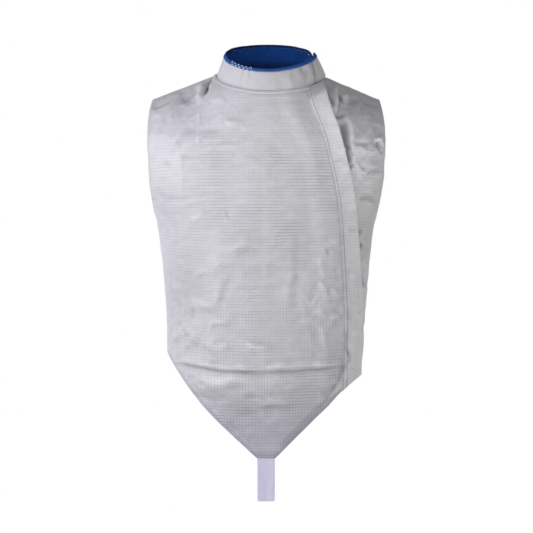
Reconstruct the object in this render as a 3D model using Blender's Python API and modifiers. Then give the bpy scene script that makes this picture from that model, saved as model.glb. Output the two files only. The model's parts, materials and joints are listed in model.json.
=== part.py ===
"""A fencing lame: a sleeveless vest of conductive cloth, in the shape it takes when worn.

Metres, +Z up, the front faces -Y and +X is the wearer's left.  z = 0 is the level of the neck
points, where the shoulder seams meet the collar.  The cloth follows one hollow form, which is
given by its sections.  Each piece is an open sheet on that form, thickened outwards, and a piece
that lies on another is made from the same form, moved out.
"""
from functools import lru_cache

import bmesh
import bpy
import numpy as np
from mathutils import Vector

NAME = "fencing_lame"

# Cloth
WALL = 0.0015               # panels and the outer collar
TAPE = 0.0012               # strips, lining
GAP = 0.0003                # between neighbouring pieces
CLEAR = 1.5 * GAP           # a strip over the cloth it is sewn to, as both bend
EDGE = 0.0010               # half the gap at a side seam, as a share of a panel's half
STRIP_INSET = 0.02          # the placket ends this share of its width inside the free edge
STRIP_GAP = 0.006           # between it and the neck strip, in the same measure

# Shoulders and armholes
SHOULDER_TIP = (0.1865, 0.004, -0.0345)
ARM_LINE_Z = -0.130         # level at which the armhole reaches furthest forward
UNDERARM_Z = -0.226
ARM_FRONT = 0.054           # how far in front of the side seam the armhole's edge runs there
ARM_BACK = 0.050

# Horizontal sections of the form, from the arm line down; the armhole cuts off the sides of those
# above the underarm
SECTION_COLUMNS = ("z", "half_width", "front", "back")
SECTIONS = (
    (-0.130, 0.2085, 0.1130, 0.1060),
    (-0.165, 0.2020, 0.1170, 0.1090),
    (-0.200, 0.1895, 0.1190, 0.1090),
    (-0.226, 0.1800, 0.1190, 0.1070),
    (-0.282, 0.1710, 0.1160, 0.1010),
    (-0.340, 0.1660, 0.1110, 0.0950),
    (-0.400, 0.1615, 0.1090, 0.0930),
    (-0.450, 0.1605, 0.1100, 0.0960),
    (-0.480, 0.1600, 0.1080, 0.0980),
    (-0.550, 0.1580, 0.0940, 0.0980),
    (-0.620, 0.1560, 0.0760, 0.0980),
)
SQUARENESS = 0.80           # 1 is an ellipse, less is a flatter front with fuller corners

# Collar: an oval round the neck, given at its foot and at its top
COLLAR_CENTRE_X = 0.003
FOOT = dict(half_width=0.0825, half_depth=0.0770, centre_y=-0.0120, front=-0.0280, side=0.0025, back=0.0220)
RIM = dict(half_width=0.0685, half_depth=0.0680, centre_y=-0.0110, front=0.0085, side=0.0405, back=0.0640)
SEAM_ANGLE = 101.5          # shoulder seam on the oval, degrees from the front
NECK_SHARE = 0.66           # share of a panel's half that starts at the neck, the rest at the shoulder
COLLAR_LIFT = 0.0018        # foot of the collar above the neck edge
COLLAR_HEIGHT = 0.0400
BINDING_HEIGHT = 0.0060
BINDING_PROUD = 0.0002      # the binding wraps the rim, so it stands proud on both faces
STRIP_START = 0.0022        # neck strip and placket start this far from the neck edge
STRIP_WIDTH = 0.0080
STRIP_EASE = 0.0006         # the placket turns sharply under the collar's end
STRIP_EASE_DEPTH = 0.040
UNDER_END = 58.0            # hidden end of the collar, degrees from the front
OUTER_END = 97.0            # outer end of the collar, over the wearer's left side
FOOT_SPREAD = 0.0115        # how far the outer end draws away from the oval, at its foot and rim
RIM_SPREAD = 0.0065

# Closing edge of the front, wearer's left: distance from the centre line at each height
FLAP_COLUMNS = ("height", "out")
FLAP_EDGE = (
    (0.003, 0.0958),
    (-0.012, 0.0905),
    (-0.030, 0.0915),
    (-0.060, 0.1000),
    (-0.090, 0.1130),
    (-0.130, 0.1245),
    (-0.173, 0.1340),
    (-0.207, 0.1390),
    (-0.242, 0.1415),
    (-0.289, 0.1445),
    (-0.340, 0.1475),
    (-0.400, 0.1490),
    (-0.483, 0.1490),
)
PLACKET_WIDTH = 0.028
UNDERLAP = 0.038            # how far the left panel runs on under the flap
FLAP_LIFT = 0.0032
FLAP_RISE = 0.12            # share of a half over which the flap rises to that lift
FLAP_STAND_OFF = 0.0014     # the free edge stands this much further off

# Hems
WAIST_ROW_Z = -0.385
RIGHT_HEM_Z = -0.443        # front hem at the wearer's right side seam
FLAP_CORNER_Z = -0.483
TIP_Z = -0.6180
TIP_HALF = 0.0145

# Sides of the V: share of the way across from the tip, and of the way up to the side seam (right)
# or to the flap's corner (left)
HEM_COLUMNS = ("across", "right", "left")
HEM = (
    (0.00, 0.000, 0.000),
    (0.25, 0.255, 0.260),
    (0.45, 0.485, 0.478),
    (0.56, 0.635, 0.603),
    (0.69, 0.805, 0.768),
    (0.78, 0.893, 0.853),
    (0.89, 0.966, 0.936),
    (1.00, 1.000, 1.000),
)
LEFT_HEM_Z = -0.398
LEFT_HEM_FRONT_Z = -0.411
BACK_HEM_RIGHT_Z = -0.437

# Strap end
TAB_WIDTH = 0.0280
TAB_BOTTOM_Z = -0.6880
TAB_TUCK = 0.012
TAB_WALL = 0.0016

# How the cloth leaves the neck and shoulder: slope below the horizontal, in degrees
FRONT_SLOPE = dict(centre=68.0, side=26.0)
BACK_SLOPE = dict(centre=58.0, side=26.0)
CORNER_LEAN = 0.60          # at the neck point the cloth runs this far forward or back as well
TIP_DIRECTION = (0.10, 0.90, -0.38)     # and at the shoulder tip: out, forward or back, down

SECTION_POINTS = 33         # points along a half section when its length is measured
HALVINGS = 24               # when a share across is searched for
NORMAL_STEP = (0.012, 0.003)    # in share and height, when the cloth's facing is measured
DOWN_STEP = 0.004
ALONG_STEP = 1.0            # degrees round the collar

FRONT, BACK = -1, 1         # the sign of y outwards


def smooth(x):
    x = min(max(x, 0.0), 1.0)
    return x * x * (3.0 - 2.0 * x)


def mix(a, b, share):
    return a + (b - a) * share


def through(x, xs, ys):
    """A smooth curve through the points (xs, ys), with xs rising, read at x."""
    slopes = np.gradient(ys, xs)
    i = int(np.clip(np.searchsorted(xs, x) - 1, 0, len(xs) - 2))
    span = xs[i + 1] - xs[i]
    s = min(max((x - xs[i]) / span, 0.0), 1.0)
    start = (1 + 2 * s) * (1 - s) ** 2 * ys[i] + s * (1 - s) ** 2 * slopes[i] * span
    end = s * s * (3 - 2 * s) * ys[i + 1] + s * s * (s - 1) * slopes[i + 1] * span
    return start + end


DEPTHS = np.array([-row[0] for row in SECTIONS])
SECTION_CURVES = {name: np.array([row[i] for row in SECTIONS]) for i, name in enumerate(SECTION_COLUMNS)}
HEM_CURVES = {name: np.array([row[i] for row in HEM]) for i, name in enumerate(HEM_COLUMNS)}
FLAP_CURVES = {name: np.array([row[i] for row in FLAP_EDGE]) for i, name in enumerate(FLAP_COLUMNS)}


def section(t, z, side):
    """Point of the form at height z, at share t of the way along the cloth from the centre line to
    the side seam or armhole, minus to the wearer's right."""
    half = through(-z, DEPTHS, SECTION_CURVES["half_width"])
    depth = through(-z, DEPTHS, SECTION_CURVES["front" if side == FRONT else "back"])
    fall = min(max((ARM_LINE_Z - z) / (ARM_LINE_Z - UNDERARM_Z), 0.0), 1.0)
    edge = (ARM_FRONT if side == FRONT else ARM_BACK) * np.sqrt(1.0 - fall * fall)
    turn = np.arccos((edge / depth) ** (1.0 / SQUARENESS))
    angles = np.linspace(0.0, turn, SECTION_POINTS)
    xs = half * np.sin(angles)
    ys = depth * np.maximum(np.cos(angles), 0.0) ** SQUARENESS
    run = np.concatenate(([0.0], np.cumsum(np.hypot(np.diff(xs), np.diff(ys)))))
    angle = np.interp(min(abs(t), 1.0) * run[-1], run, angles)
    x = half * np.sin(angle)
    y = depth * max(np.cos(angle), 0.0) ** SQUARENESS
    return Vector((np.copysign(x, t), side * y, z))


def oval(size, angle, spread=0.0):
    """Point on the collar's oval: 0 degrees is the front, 90 the wearer's left."""
    across, along = np.sin(np.radians(angle)), -np.cos(np.radians(angle))
    rise = 0.5 * (size["back"] - size["front"])
    sag = 0.5 * (size["back"] + size["front"]) - size["side"]
    return Vector((COLLAR_CENTRE_X + (size["half_width"] + spread) * across,
                   size["centre_y"] + (size["half_depth"] + spread) * along,
                   size["side"] + rise * along + sag * along * along))


def neck_angle(t, side):
    """Angle on the collar's oval at share t of a panel."""
    share = abs(t) / NECK_SHARE
    angle = SEAM_ANGLE * share if side == FRONT else 180.0 - (180.0 - SEAM_ANGLE) * share
    return np.copysign(angle, t)


def top_edge(t, side):
    """Point on the neck edge or shoulder seam, and the way the cloth leaves it."""
    slope = FRONT_SLOPE if side == FRONT else BACK_SLOPE
    share = min(abs(t) / NECK_SHARE, 1.0)
    angle = neck_angle(np.copysign(share * NECK_SHARE, t), side)
    start = oval(FOOT, angle)
    drop = np.radians(mix(slope["centre"], slope["side"], smooth(share)))
    away = Vector((np.sin(np.radians(angle)), -np.cos(np.radians(angle)), 0.0)) * np.cos(drop)
    away += Vector((0.0, side * CORNER_LEAN * share ** 4, -np.sin(drop)))
    if abs(t) > NECK_SHARE:
        along = (abs(t) - NECK_SHARE) / (1.0 - NECK_SHARE)
        tip = Vector((np.copysign(SHOULDER_TIP[0], t), SHOULDER_TIP[1], SHOULDER_TIP[2]))
        tip_away = Vector((np.copysign(TIP_DIRECTION[0], t), side * TIP_DIRECTION[1], TIP_DIRECTION[2]))
        start = start.lerp(tip, along)
        away = away.normalized().lerp(tip_away, smooth(along))
    return start, away.normalized()


def body(t, h, side):
    """Point of the form at share t across.  h is the height, except above the arm line, where it
    counts down evenly from 0 at the neck edge and shoulder seam."""
    if h <= ARM_LINE_Z:
        return section(t, h, side)
    start, away = top_edge(t, side)
    end = section(t, ARM_LINE_Z, side)
    down = (section(t, ARM_LINE_Z - DOWN_STEP, side) - end).normalized()
    reach = (end - start).length
    s = h / ARM_LINE_Z
    point = start * ((1 + 2 * s) * (1 - s) ** 2) + away * (reach * s * (1 - s) ** 2)
    return point + end * (s * s * (3 - 2 * s)) + down * (reach * s * s * (s - 1))


def moved_out(t, h, side, lift):
    """The same point, moved out from the form by lift."""
    dt, dh = NORMAL_STEP
    across = body(min(t + dt, 1.0), h, side) - body(max(t - dt, -1.0), h, side)
    down = body(t, h - dh, side) - body(t, min(h + dh, 0.0), side)
    normal = across.cross(down).normalized() * side
    return body(t, h, side) + normal * lift


@lru_cache(maxsize=None)
def share_at(h, inset=0.0):
    """Share across the front, at level h, of the flap's free edge or a line inset from it."""
    low, high = 0.0, 1.0
    for _ in range(HALVINGS):
        middle = 0.5 * (low + high)
        point = body(middle, h, FRONT)
        if point.x < through(-point.z, -FLAP_CURVES["height"], FLAP_CURVES["out"]) - inset:
            low = middle
        else:
            high = middle
    return 0.5 * (low + high)


def spread(angle, amount):
    """How far the collar's outer end has drawn away at this angle."""
    return amount * smooth(angle / OUTER_END)


def neckline(t, distance=0.0):
    """Level of the front panel's neck edge, or of a line at a distance from it.  The panel is cut
    lower where the collar's end draws away."""
    if t >= NECK_SHARE:
        return 0.0
    reach = (section(t, ARM_LINE_Z, FRONT) - top_edge(t, FRONT)[0]).length
    return ARM_LINE_Z * (distance + spread(neck_angle(t, FRONT), FOOT_SPREAD)) / reach


def flap_lift(t, h):
    """The front panel rises over the left panel's hidden edge, and its free edge stands off."""
    inner, free = share_at(h, UNDERLAP), share_at(h)
    over = smooth(1.5 + (t - inner) / FLAP_RISE)
    return FLAP_LIFT * over + FLAP_STAND_OFF * smooth((t - inner) / (free - inner))


def front_hem(t, t_free):
    """Height of the front's lower edge: the V, with its short flat tip."""
    tip = share_at_x(TIP_HALF, TIP_Z)
    if t < 0.0:
        across = max(-t - tip, 0.0) / (1.0 - tip)
        return mix(TIP_Z, RIGHT_HEM_Z, through(across, HEM_CURVES["across"], HEM_CURVES["right"]))
    across = max(t - tip, 0.0) / (t_free - tip)
    return mix(TIP_Z, FLAP_CORNER_Z, through(across, HEM_CURVES["across"], HEM_CURVES["left"]))


@lru_cache(maxsize=None)
def share_at_x(x, z):
    """Share across the front that lies x from the centre line at height z."""
    low, high = 0.0, 1.0
    for _ in range(HALVINGS):
        middle = 0.5 * (low + high)
        low, high = (middle, high) if section(middle, z, FRONT).x < x else (low, middle)
    return low


def steps(*stops):
    """Values from stop to stop; each stop is (value, number of steps that lead to it)."""
    values = [stops[0][0]]
    for (start, _), (end, count) in zip(stops, stops[1:]):
        values += [mix(start, end, (i + 1) / count) for i in range(count)]
    return values


# Levels shared by the panels: neck to arm line, down the armhole, down to the waist row
ARMHOLE_LEVELS = [mix(ARM_LINE_Z, UNDERARM_Z, np.sin(np.radians(a))) for a in (30, 55, 75, 90)]
LEVELS = steps((-GAP, 0), (-0.003, 1), (-0.008, 1), (-0.02, 2), (ARM_LINE_Z, 6)) + ARMHOLE_LEVELS
LEVELS += steps((UNDERARM_Z, 0), (WAIST_ROW_Z, 5))[1:]


def make_sheet(name, columns, rows, place, wall, material):
    """A grid bent onto the form by place(column, row), facing out and thickened outwards."""
    mesh = bpy.data.meshes.new(name)
    grid = bmesh.new()
    bmesh.ops.create_grid(grid, x_segments=len(columns) - 1, y_segments=len(rows) - 1, size=1.0)
    for vertex in grid.verts:
        column = round((vertex.co.x + 1.0) * 0.5 * (len(columns) - 1))
        row = round((1.0 - vertex.co.y) * 0.5 * (len(rows) - 1))
        vertex.co = place(columns[column], rows[row])
    grid.to_mesh(mesh)
    grid.free()
    mesh.shade_smooth()
    sheet = bpy.data.objects.new(name, mesh)
    parts.objects.link(sheet)
    mesh.materials.append(material)
    solid = sheet.modifiers.new("Wall", "SOLIDIFY")
    solid.thickness = wall
    solid.offset = 1.0
    return sheet


def front_point(q, row, neck_gap=0.0):
    """Share and level on the front panel.  q runs from 0 at the right side seam to 1 at the
    placket's inner edge and 2 at the free edge; a row is a level and how far it is on to the hem."""
    level, down = row
    above = max(1.0 - level / ARM_LINE_Z, 0.0)
    edge_level = mix(level, FLAP_CORNER_Z, down) + NECK_DROP * above
    inner, free = share_at(edge_level, PLACKET_WIDTH), share_at(edge_level)
    t = mix(EDGE - 1.0, inner, q) if q <= 1.0 else mix(inner, free, q - 1.0)
    h = level + neckline(t, neck_gap) * above
    return t, mix(h, front_hem(t, free), down)


def front_place(q, row):
    t, h = front_point(q, row)
    return moved_out(t, h, FRONT, flap_lift(t, h))


def placket_place(q, row):
    t, h = front_point(q, row, STRIP_START)
    ease = STRIP_EASE * smooth(1.0 + h / STRIP_EASE_DEPTH)
    return moved_out(t, h, FRONT, flap_lift(t, h) + WALL + CLEAR + ease)


def neck_strip_place(q, distance):
    t, h = front_point(q, upper_rows[0], distance)
    return moved_out(t, h, FRONT, flap_lift(t, h) + WALL + CLEAR)


def left_place(q, row):
    level, down = row
    h = mix(level, LEFT_HEM_FRONT_Z, down)
    inner, free = share_at(h, UNDERLAP), share_at(h)
    t = mix(inner, 1.0 - EDGE, q)
    hem = mix(LEFT_HEM_FRONT_Z, LEFT_HEM_Z, smooth((t - free) / (1.0 - free)))
    return body(t, mix(level, hem, down), FRONT)


def back_place(t, row):
    level, down = row
    hem = mix(BACK_HEM_RIGHT_Z, LEFT_HEM_Z, 0.5 * (t + 1.0))
    return body(t, mix(level, hem, down), BACK)


def collar_point(angle, share):
    """Share 0 is the foot of the collar and 1 its rim.  The angle runs on past the front, from the
    hidden end at the wearer's left, round the back and the right side, to the outer end."""
    foot = oval(FOOT, angle)
    if angle > 0.0:
        t = NECK_SHARE * angle / SEAM_ANGLE
        foot = moved_out(t, neckline(t), FRONT, flap_lift(t, neckline(t)))
    foot.z += COLLAR_LIFT
    return foot.lerp(oval(RIM, angle, spread(angle, RIM_SPREAD)), share)


def collar_place(inset, low, high):
    """Maps (angle, 1 at the top to 0) to the collar, moved in by inset."""
    def place(angle, height):
        share = mix(low, high, height)
        ahead = min(angle + ALONG_STEP, OUTER_END)
        along = collar_point(ahead, share) - collar_point(angle - ALONG_STEP, share)
        up = collar_point(angle, 1.0) - collar_point(angle, 0.0)
        return collar_point(angle, share) - along.cross(up).normalized() * inset
    return place


def tab_place(side_share, z):
    t = side_share * share_at_x(TIP_HALF, TIP_Z) * TAB_WIDTH / (2.0 * TIP_HALF)
    point = moved_out(t, max(z, TIP_Z), FRONT, -2.0 * GAP - TAB_WALL)
    point.z = z
    return point


def cloth(name, colour, roughness, metallic):
    material = bpy.data.materials.new(name)
    material.use_nodes = True
    finish = material.node_tree.nodes["Principled BSDF"].inputs
    finish["Base Color"].default_value = (*colour, 1.0)
    finish["Roughness"].default_value = roughness
    finish["Metallic"].default_value = metallic
    return material


for thing in list(bpy.data.objects):
    bpy.data.objects.remove(thing)
parts = bpy.data.collections.new(NAME)
bpy.context.scene.collection.children.link(parts)

silver = cloth("conductive_cloth", (0.52, 0.52, 0.54), 0.5, 0.6)
blue = cloth("blue_cotton", (0.005, 0.03, 0.13), 0.8, 0.0)
elastic = cloth("white_elastic", (0.75, 0.74, 0.84), 0.8, 0.0)

NECK_DROP = neckline(NECK_SHARE * OUTER_END / SEAM_ANGLE)
TIP_SHARE = share_at_x(TIP_HALF, TIP_Z)

upper_rows = [(level, 0.0) for level in LEVELS]
hem_rows = [(WAIST_ROW_Z, down) for down in steps((0.0, 0), (1.0, 9))[1:]]
short_rows = [(WAIST_ROW_Z, down) for down in steps((0.0, 0), (1.0, 2))[1:]]

# Columns of the front: the neck point, the two corners of the tip and the placket each have one
neck_column = (1.0 - NECK_SHARE) / (1.0 + share_at(NECK_DROP, PLACKET_WIDTH))
low_width = 1.0 + share_at(FLAP_CORNER_Z, PLACKET_WIDTH)
to_placket = steps((0.0, 0), (neck_column, 5), ((1.0 - TIP_SHARE) / low_width, 6),
                   ((1.0 + TIP_SHARE) / low_width, 2), (1.0, 7))
across_placket = steps((1.0, 0), (2.0, 3))
make_sheet("front_panel", to_placket + across_placket[1:], upper_rows + hem_rows, front_place, WALL, silver)
strip_columns = [1.0 + STRIP_GAP] + across_placket[1:-1] + [2.0 - STRIP_INSET]
make_sheet("placket_strip", strip_columns, upper_rows + hem_rows, placket_place, TAPE, silver)
neck_columns = [q for q in to_placket if neck_column <= q < 1.0] + [1.0 - STRIP_GAP]
make_sheet("neck_strip", neck_columns, (STRIP_START, STRIP_START + STRIP_WIDTH), neck_strip_place,
           TAPE, silver)

left_start = share_at(upper_rows[0][0], UNDERLAP)
left_columns = steps((0.0, 0), ((NECK_SHARE - left_start) / (1.0 - left_start), 3), (1.0, 6))
make_sheet("left_panel", left_columns, upper_rows + short_rows, left_place, WALL, silver)
back_columns = steps((1.0 - EDGE, 0), (NECK_SHARE, 4), (-NECK_SHARE, 12), (EDGE - 1.0, 4))
make_sheet("back_panel", back_columns, upper_rows + short_rows, back_place, WALL, silver)

wrap = steps((UNDER_END - 360.0, 0), (OUTER_END, 44))
binding_share = BINDING_HEIGHT / COLLAR_HEIGHT
binding_wall = WALL + GAP + TAPE + 2.0 * BINDING_PROUD
make_sheet("collar_outer", wrap, steps((1.0, 0), (0.0, 2)),
           collar_place(0.0, 0.0, 1.0 - binding_share), WALL, silver)
make_sheet("collar_lining", wrap, steps((1.0, 0), (0.0, 2)),
           collar_place(GAP + TAPE, 0.0, 1.0 - binding_share), TAPE, blue)
make_sheet("collar_binding", wrap, (1.0, 0.0),
           collar_place(GAP + TAPE + BINDING_PROUD, 1.0 - binding_share + CLEAR / COLLAR_HEIGHT, 1.0),
           binding_wall, blue)
make_sheet("crotch_tab", (-1.0, 0.0, 1.0), steps((TIP_Z + TAB_TUCK, 0), (TIP_Z, 1), (TAB_BOTTOM_Z, 4)),
           tab_place, TAB_WALL, elastic)
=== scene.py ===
import json
import math
from functools import partial

import bpy
import numpy as np
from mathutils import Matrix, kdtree

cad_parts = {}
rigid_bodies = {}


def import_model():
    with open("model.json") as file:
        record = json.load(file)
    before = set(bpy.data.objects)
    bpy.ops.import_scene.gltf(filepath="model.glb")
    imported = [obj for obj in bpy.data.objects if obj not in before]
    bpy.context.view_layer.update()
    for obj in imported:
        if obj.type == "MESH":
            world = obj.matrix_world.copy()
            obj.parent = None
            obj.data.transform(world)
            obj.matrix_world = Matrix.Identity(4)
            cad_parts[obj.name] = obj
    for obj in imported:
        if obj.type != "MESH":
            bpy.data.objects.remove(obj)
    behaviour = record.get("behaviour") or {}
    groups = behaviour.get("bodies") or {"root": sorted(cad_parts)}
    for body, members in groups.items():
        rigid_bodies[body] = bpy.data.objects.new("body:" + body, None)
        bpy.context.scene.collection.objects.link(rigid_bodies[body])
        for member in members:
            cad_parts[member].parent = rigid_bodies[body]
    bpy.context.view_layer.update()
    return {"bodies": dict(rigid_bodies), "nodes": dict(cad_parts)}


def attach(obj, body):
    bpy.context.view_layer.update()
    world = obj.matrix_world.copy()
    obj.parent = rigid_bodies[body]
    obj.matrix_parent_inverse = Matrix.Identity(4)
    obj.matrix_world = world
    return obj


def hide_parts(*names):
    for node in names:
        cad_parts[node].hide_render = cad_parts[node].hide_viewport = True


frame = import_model()
print("frame loaded:", len(frame["nodes"]), "nodes")

front, back = -1, 1  # the sign of y outwards


# the worn form: every piece of cloth lies on it

form = {
    "shoulderTip": (0.1865, 0.004, -0.0345),
    "armLine": -0.130,  # level at which the armhole reaches furthest in
    "underarm": -0.226,
    "armReach": {front: 0.054, back: 0.050},
    "squareness": 0.80,
    "neckShare": 0.66,  # share of a panel's half that starts at the neck
    "seamAngle": 101.5,  # shoulder seam round the collar, degrees from the front
    "slope": {front: (68.0, 26.0), back: (58.0, 26.0)},  # at the centre and at the neck point
    "cornerLean": 0.60,
    "tipAway": (0.10, 0.90, -0.38),
    "centreX": 0.003,
    # the collar's foot and rim: half sizes, middle, and levels round it
    "foot": {"width": 0.0825, "depth": 0.0770, "y": -0.0120, "front": -0.0280, "side": 0.0025, "back": 0.022},
    "rim": {"width": 0.0685, "depth": 0.0680, "y": -0.0110, "front": 0.0085, "side": 0.0405, "back": 0.064},
    "footSpread": 0.0115,
    "rimSpread": 0.0065,
    "collarEnd": 97.0,
    "underEnd": 58.0,
}

# height, half width, depth of the front, depth of the back
sections = np.array((
    (-0.130, 0.2085, 0.1130, 0.1060),
    (-0.165, 0.2020, 0.1170, 0.1090),
    (-0.200, 0.1895, 0.1190, 0.1090),
    (-0.226, 0.1800, 0.1190, 0.1070),
    (-0.282, 0.1710, 0.1160, 0.1010),
    (-0.340, 0.1660, 0.1110, 0.0950),
    (-0.400, 0.1615, 0.1090, 0.0930),
    (-0.450, 0.1605, 0.1100, 0.0960),
    (-0.480, 0.1600, 0.1080, 0.0980),
    (-0.550, 0.1580, 0.0940, 0.0980),
    (-0.620, 0.1560, 0.0760, 0.0980),
))

# closing edge of the front: height, distance from the centre line
flapEdge = np.array((
    (0.003, 0.0958), (-0.012, 0.0905), (-0.030, 0.0915), (-0.060, 0.1000), (-0.090, 0.1130),
    (-0.130, 0.1245), (-0.173, 0.1340), (-0.207, 0.1390), (-0.242, 0.1415), (-0.289, 0.1445),
    (-0.340, 0.1475), (-0.400, 0.1490), (-0.483, 0.1490),
))

# the V of the front: share of the way across from the tip, share of the way up at the right, at the left
hemCurve = np.array((
    (0.00, 0.000, 0.000), (0.25, 0.255, 0.260), (0.45, 0.485, 0.478), (0.56, 0.635, 0.603),
    (0.69, 0.805, 0.768), (0.78, 0.893, 0.853), (0.89, 0.966, 0.936), (1.00, 1.000, 1.000),
))

cloth = {
    "wall": 0.0015, "tape": 0.0012, "gap": 0.0003, "clear": 0.00045,
    "placketWidth": 0.028, "underlap": 0.038,
    "flapLift": 0.0032, "flapRise": 0.12, "flapStandOff": 0.0014,
    "waistRow": -0.385, "rightHem": -0.443, "flapCorner": -0.483, "tip": -0.6180, "tipHalf": 0.0145,
    "leftHem": -0.398, "leftHemFront": -0.411, "backHemRight": -0.437,
    "stripStart": 0.0008, "stripWidth": 0.0080, "stripEase": 0.0006, "stripEaseDepth": 0.040,
    "stripBow": 0.0011,
    "stand": 0.0036, "standTop": 0.0072,  # how far the closing edge springs out
    "crease": 1.35,  # strength of every crease
    "wander": 3.0,  # how far short creases stray from their lines, mm
    "crush": 0.0010,  # height of the crushed ridges
    "hollow": 0.0005, "depth": 0.0090,  # how soon troughs, and cloth lying deep, take painted shade; cloth standing out takes painted highlight
    "cornerShare": 0.515,  # where the flap's top corner lies under the collar
    "seamInset": 0.0042,  # from an edge to its row of stitches, and between two rows on the collar
    "softEdge": 0.0003,  # rounding of the walls' edges
    "farEdge": 0.05,  # what counts as the distance to an edge where none is stitched
    "collarSeam": 0.0600,  # what counts as that distance at the seam that runs up the collar
}


def smooth(x):
    x = np.clip(x, 0.0, 1.0)
    return x * x * (3.0 - 2.0 * x)


def mix(a, b, share):
    return a + (b - a) * share


def unit(v):
    return v / np.linalg.norm(v, axis=-1, keepdims=True)


def curveThrough(x, xs, ys):  # smooth curve through the points, xs rising
    slopes = np.gradient(ys, xs)
    i = np.clip(np.searchsorted(xs, x) - 1, 0, len(xs) - 2)
    span = xs[i + 1] - xs[i]
    s = np.clip((x - xs[i]) / span, 0.0, 1.0)
    start = (1 + 2 * s) * (1 - s) ** 2 * ys[i] + s * (1 - s) ** 2 * slopes[i] * span
    return start + s * s * (3 - 2 * s) * ys[i + 1] + s * s * (s - 1) * slopes[i + 1] * span


def sectionPoint(t, z, side):  # t runs along the cloth, 0 at the centre line and 1 at the side
    t, z = np.broadcast_arrays(np.asarray(t, float), np.asarray(z, float))
    half = curveThrough(-z, -sections[:, 0], sections[:, 1])
    depth = curveThrough(-z, -sections[:, 0], sections[:, 2 if side == front else 3])
    fall = np.clip((form["armLine"] - z) / (form["armLine"] - form["underarm"]), 0.0, 1.0)
    edge = form["armReach"][side] * np.sqrt(1.0 - fall * fall)
    turn = np.arccos((edge / depth) ** (1.0 / form["squareness"]))
    shares = np.linspace(0.0, 1.0, 33)[:, None]
    xs = half * np.sin(shares * turn)
    ys = depth * np.maximum(np.cos(shares * turn), 0.0) ** form["squareness"]
    run = np.vstack((np.zeros(len(t)), np.cumsum(np.hypot(np.diff(xs, axis=0), np.diff(ys, axis=0)), axis=0)))
    target = np.minimum(np.abs(t), 1.0) * run[-1]
    k = np.clip((run < target).sum(axis=0) - 1, 0, 31)
    here = np.arange(len(t))
    angle = (k + (target - run[k, here]) / (run[k + 1, here] - run[k, here])) / 32.0 * turn
    x = np.copysign(half * np.sin(angle), t)
    y = side * depth * np.maximum(np.cos(angle), 0.0) ** form["squareness"]
    return np.stack((x, y, z), axis=1)


def ovalPoint(size, angle, spread=0.0):  # collar oval, 0 degrees at the front, 90 at the wearer's left
    across, along = np.sin(np.radians(angle)), -np.cos(np.radians(angle))
    rise, sag = 0.5 * (size["back"] - size["front"]), 0.5 * (size["back"] + size["front"]) - size["side"]
    return np.stack((form["centreX"] + (size["width"] + spread) * across,
                     size["y"] + (size["depth"] + spread) * along,
                     size["side"] + rise * along + sag * along * along), axis=-1)


def neckAngle(t, side):
    share = np.abs(t) / form["neckShare"]
    turn = form["seamAngle"] * share if side == front else 180.0 - (180.0 - form["seamAngle"]) * share
    return np.copysign(turn, t)


def topEdge(t, side):  # neck edge or shoulder seam, and the way the cloth leaves it
    share = np.minimum(np.abs(t) / form["neckShare"], 1.0)
    angle = neckAngle(np.copysign(share * form["neckShare"], t), side)
    start = ovalPoint(form["foot"], angle)
    centreSlope, sideSlope = form["slope"][side]
    drop = np.radians(mix(centreSlope, sideSlope, smooth(share)))
    away = np.stack((np.sin(np.radians(angle)) * np.cos(drop),
                     -np.cos(np.radians(angle)) * np.cos(drop) + side * form["cornerLean"] * share ** 4,
                     -np.sin(drop)), axis=1)
    along = np.clip((np.abs(t) - form["neckShare"]) / (1.0 - form["neckShare"]), 0.0, 1.0)[:, None]
    mirrored = np.stack((np.copysign(1.0, t), np.ones(len(t)), np.ones(len(t))), axis=1)
    tip = mirrored * form["shoulderTip"]
    out, forth, down = form["tipAway"]
    tipAway = mirrored * (out, side * forth, down)
    return mix(start, tip, along), unit(mix(unit(away), tipAway, smooth(along)))


def formPoint(t, h, side):  # h is the height, or counts down evenly from the top above the arm line
    t, h = np.broadcast_arrays(np.asarray(t, float), np.asarray(h, float))
    armLine = form["armLine"]
    end = sectionPoint(t, np.minimum(h, armLine), side)
    start, away = topEdge(t, side)
    down = unit(sectionPoint(t, armLine - 0.004, side) - sectionPoint(t, armLine, side))
    reach = np.linalg.norm(end - start, axis=1, keepdims=True)
    s = np.clip(h / armLine, 0.0, 1.0)[:, None]
    loft = start * ((1 + 2 * s) * (1 - s) ** 2) + away * (reach * s * (1 - s) ** 2)
    loft += end * (s * s * (3 - 2 * s)) + down * (reach * s * s * (s - 1))
    return np.where((h <= armLine)[:, None], end, loft)


def formNormal(t, h, side):
    across = formPoint(np.minimum(t + 0.012, 1.0), h, side) - formPoint(np.maximum(t - 0.012, -1.0), h, side)
    down = formPoint(t, h - 0.003, side) - formPoint(t, np.minimum(h + 0.003, 0.0), side)
    return unit(np.cross(across, down)) * side


def shareAt(h, inset=0.0):  # share across the front of the flap's edge, or a line inset from it
    h = np.asarray(h, float)
    low, high = np.zeros(len(h)), np.ones(len(h))
    for _ in range(24):
        middle = 0.5 * (low + high)
        point = formPoint(middle, h, front)
        inside = point[:, 0] < curveThrough(-point[:, 2], -flapEdge[:, 0], flapEdge[:, 1]) - inset
        low, high = np.where(inside, middle, low), np.where(inside, high, middle)
    return 0.5 * (low + high)


lowest = -0.640  # the tables reach down to this height
tableHeights = np.linspace(lowest, 0.0, 700)
freeShares = np.minimum(shareAt(tableHeights), np.where(tableHeights > -0.012, cloth["cornerShare"], 1.0))
placketShares = shareAt(tableHeights, cloth["placketWidth"])
underlapShares = shareAt(tableHeights, cloth["underlap"])


def shareOf(table, h):
    return np.interp(h, tableHeights, table)


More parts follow.
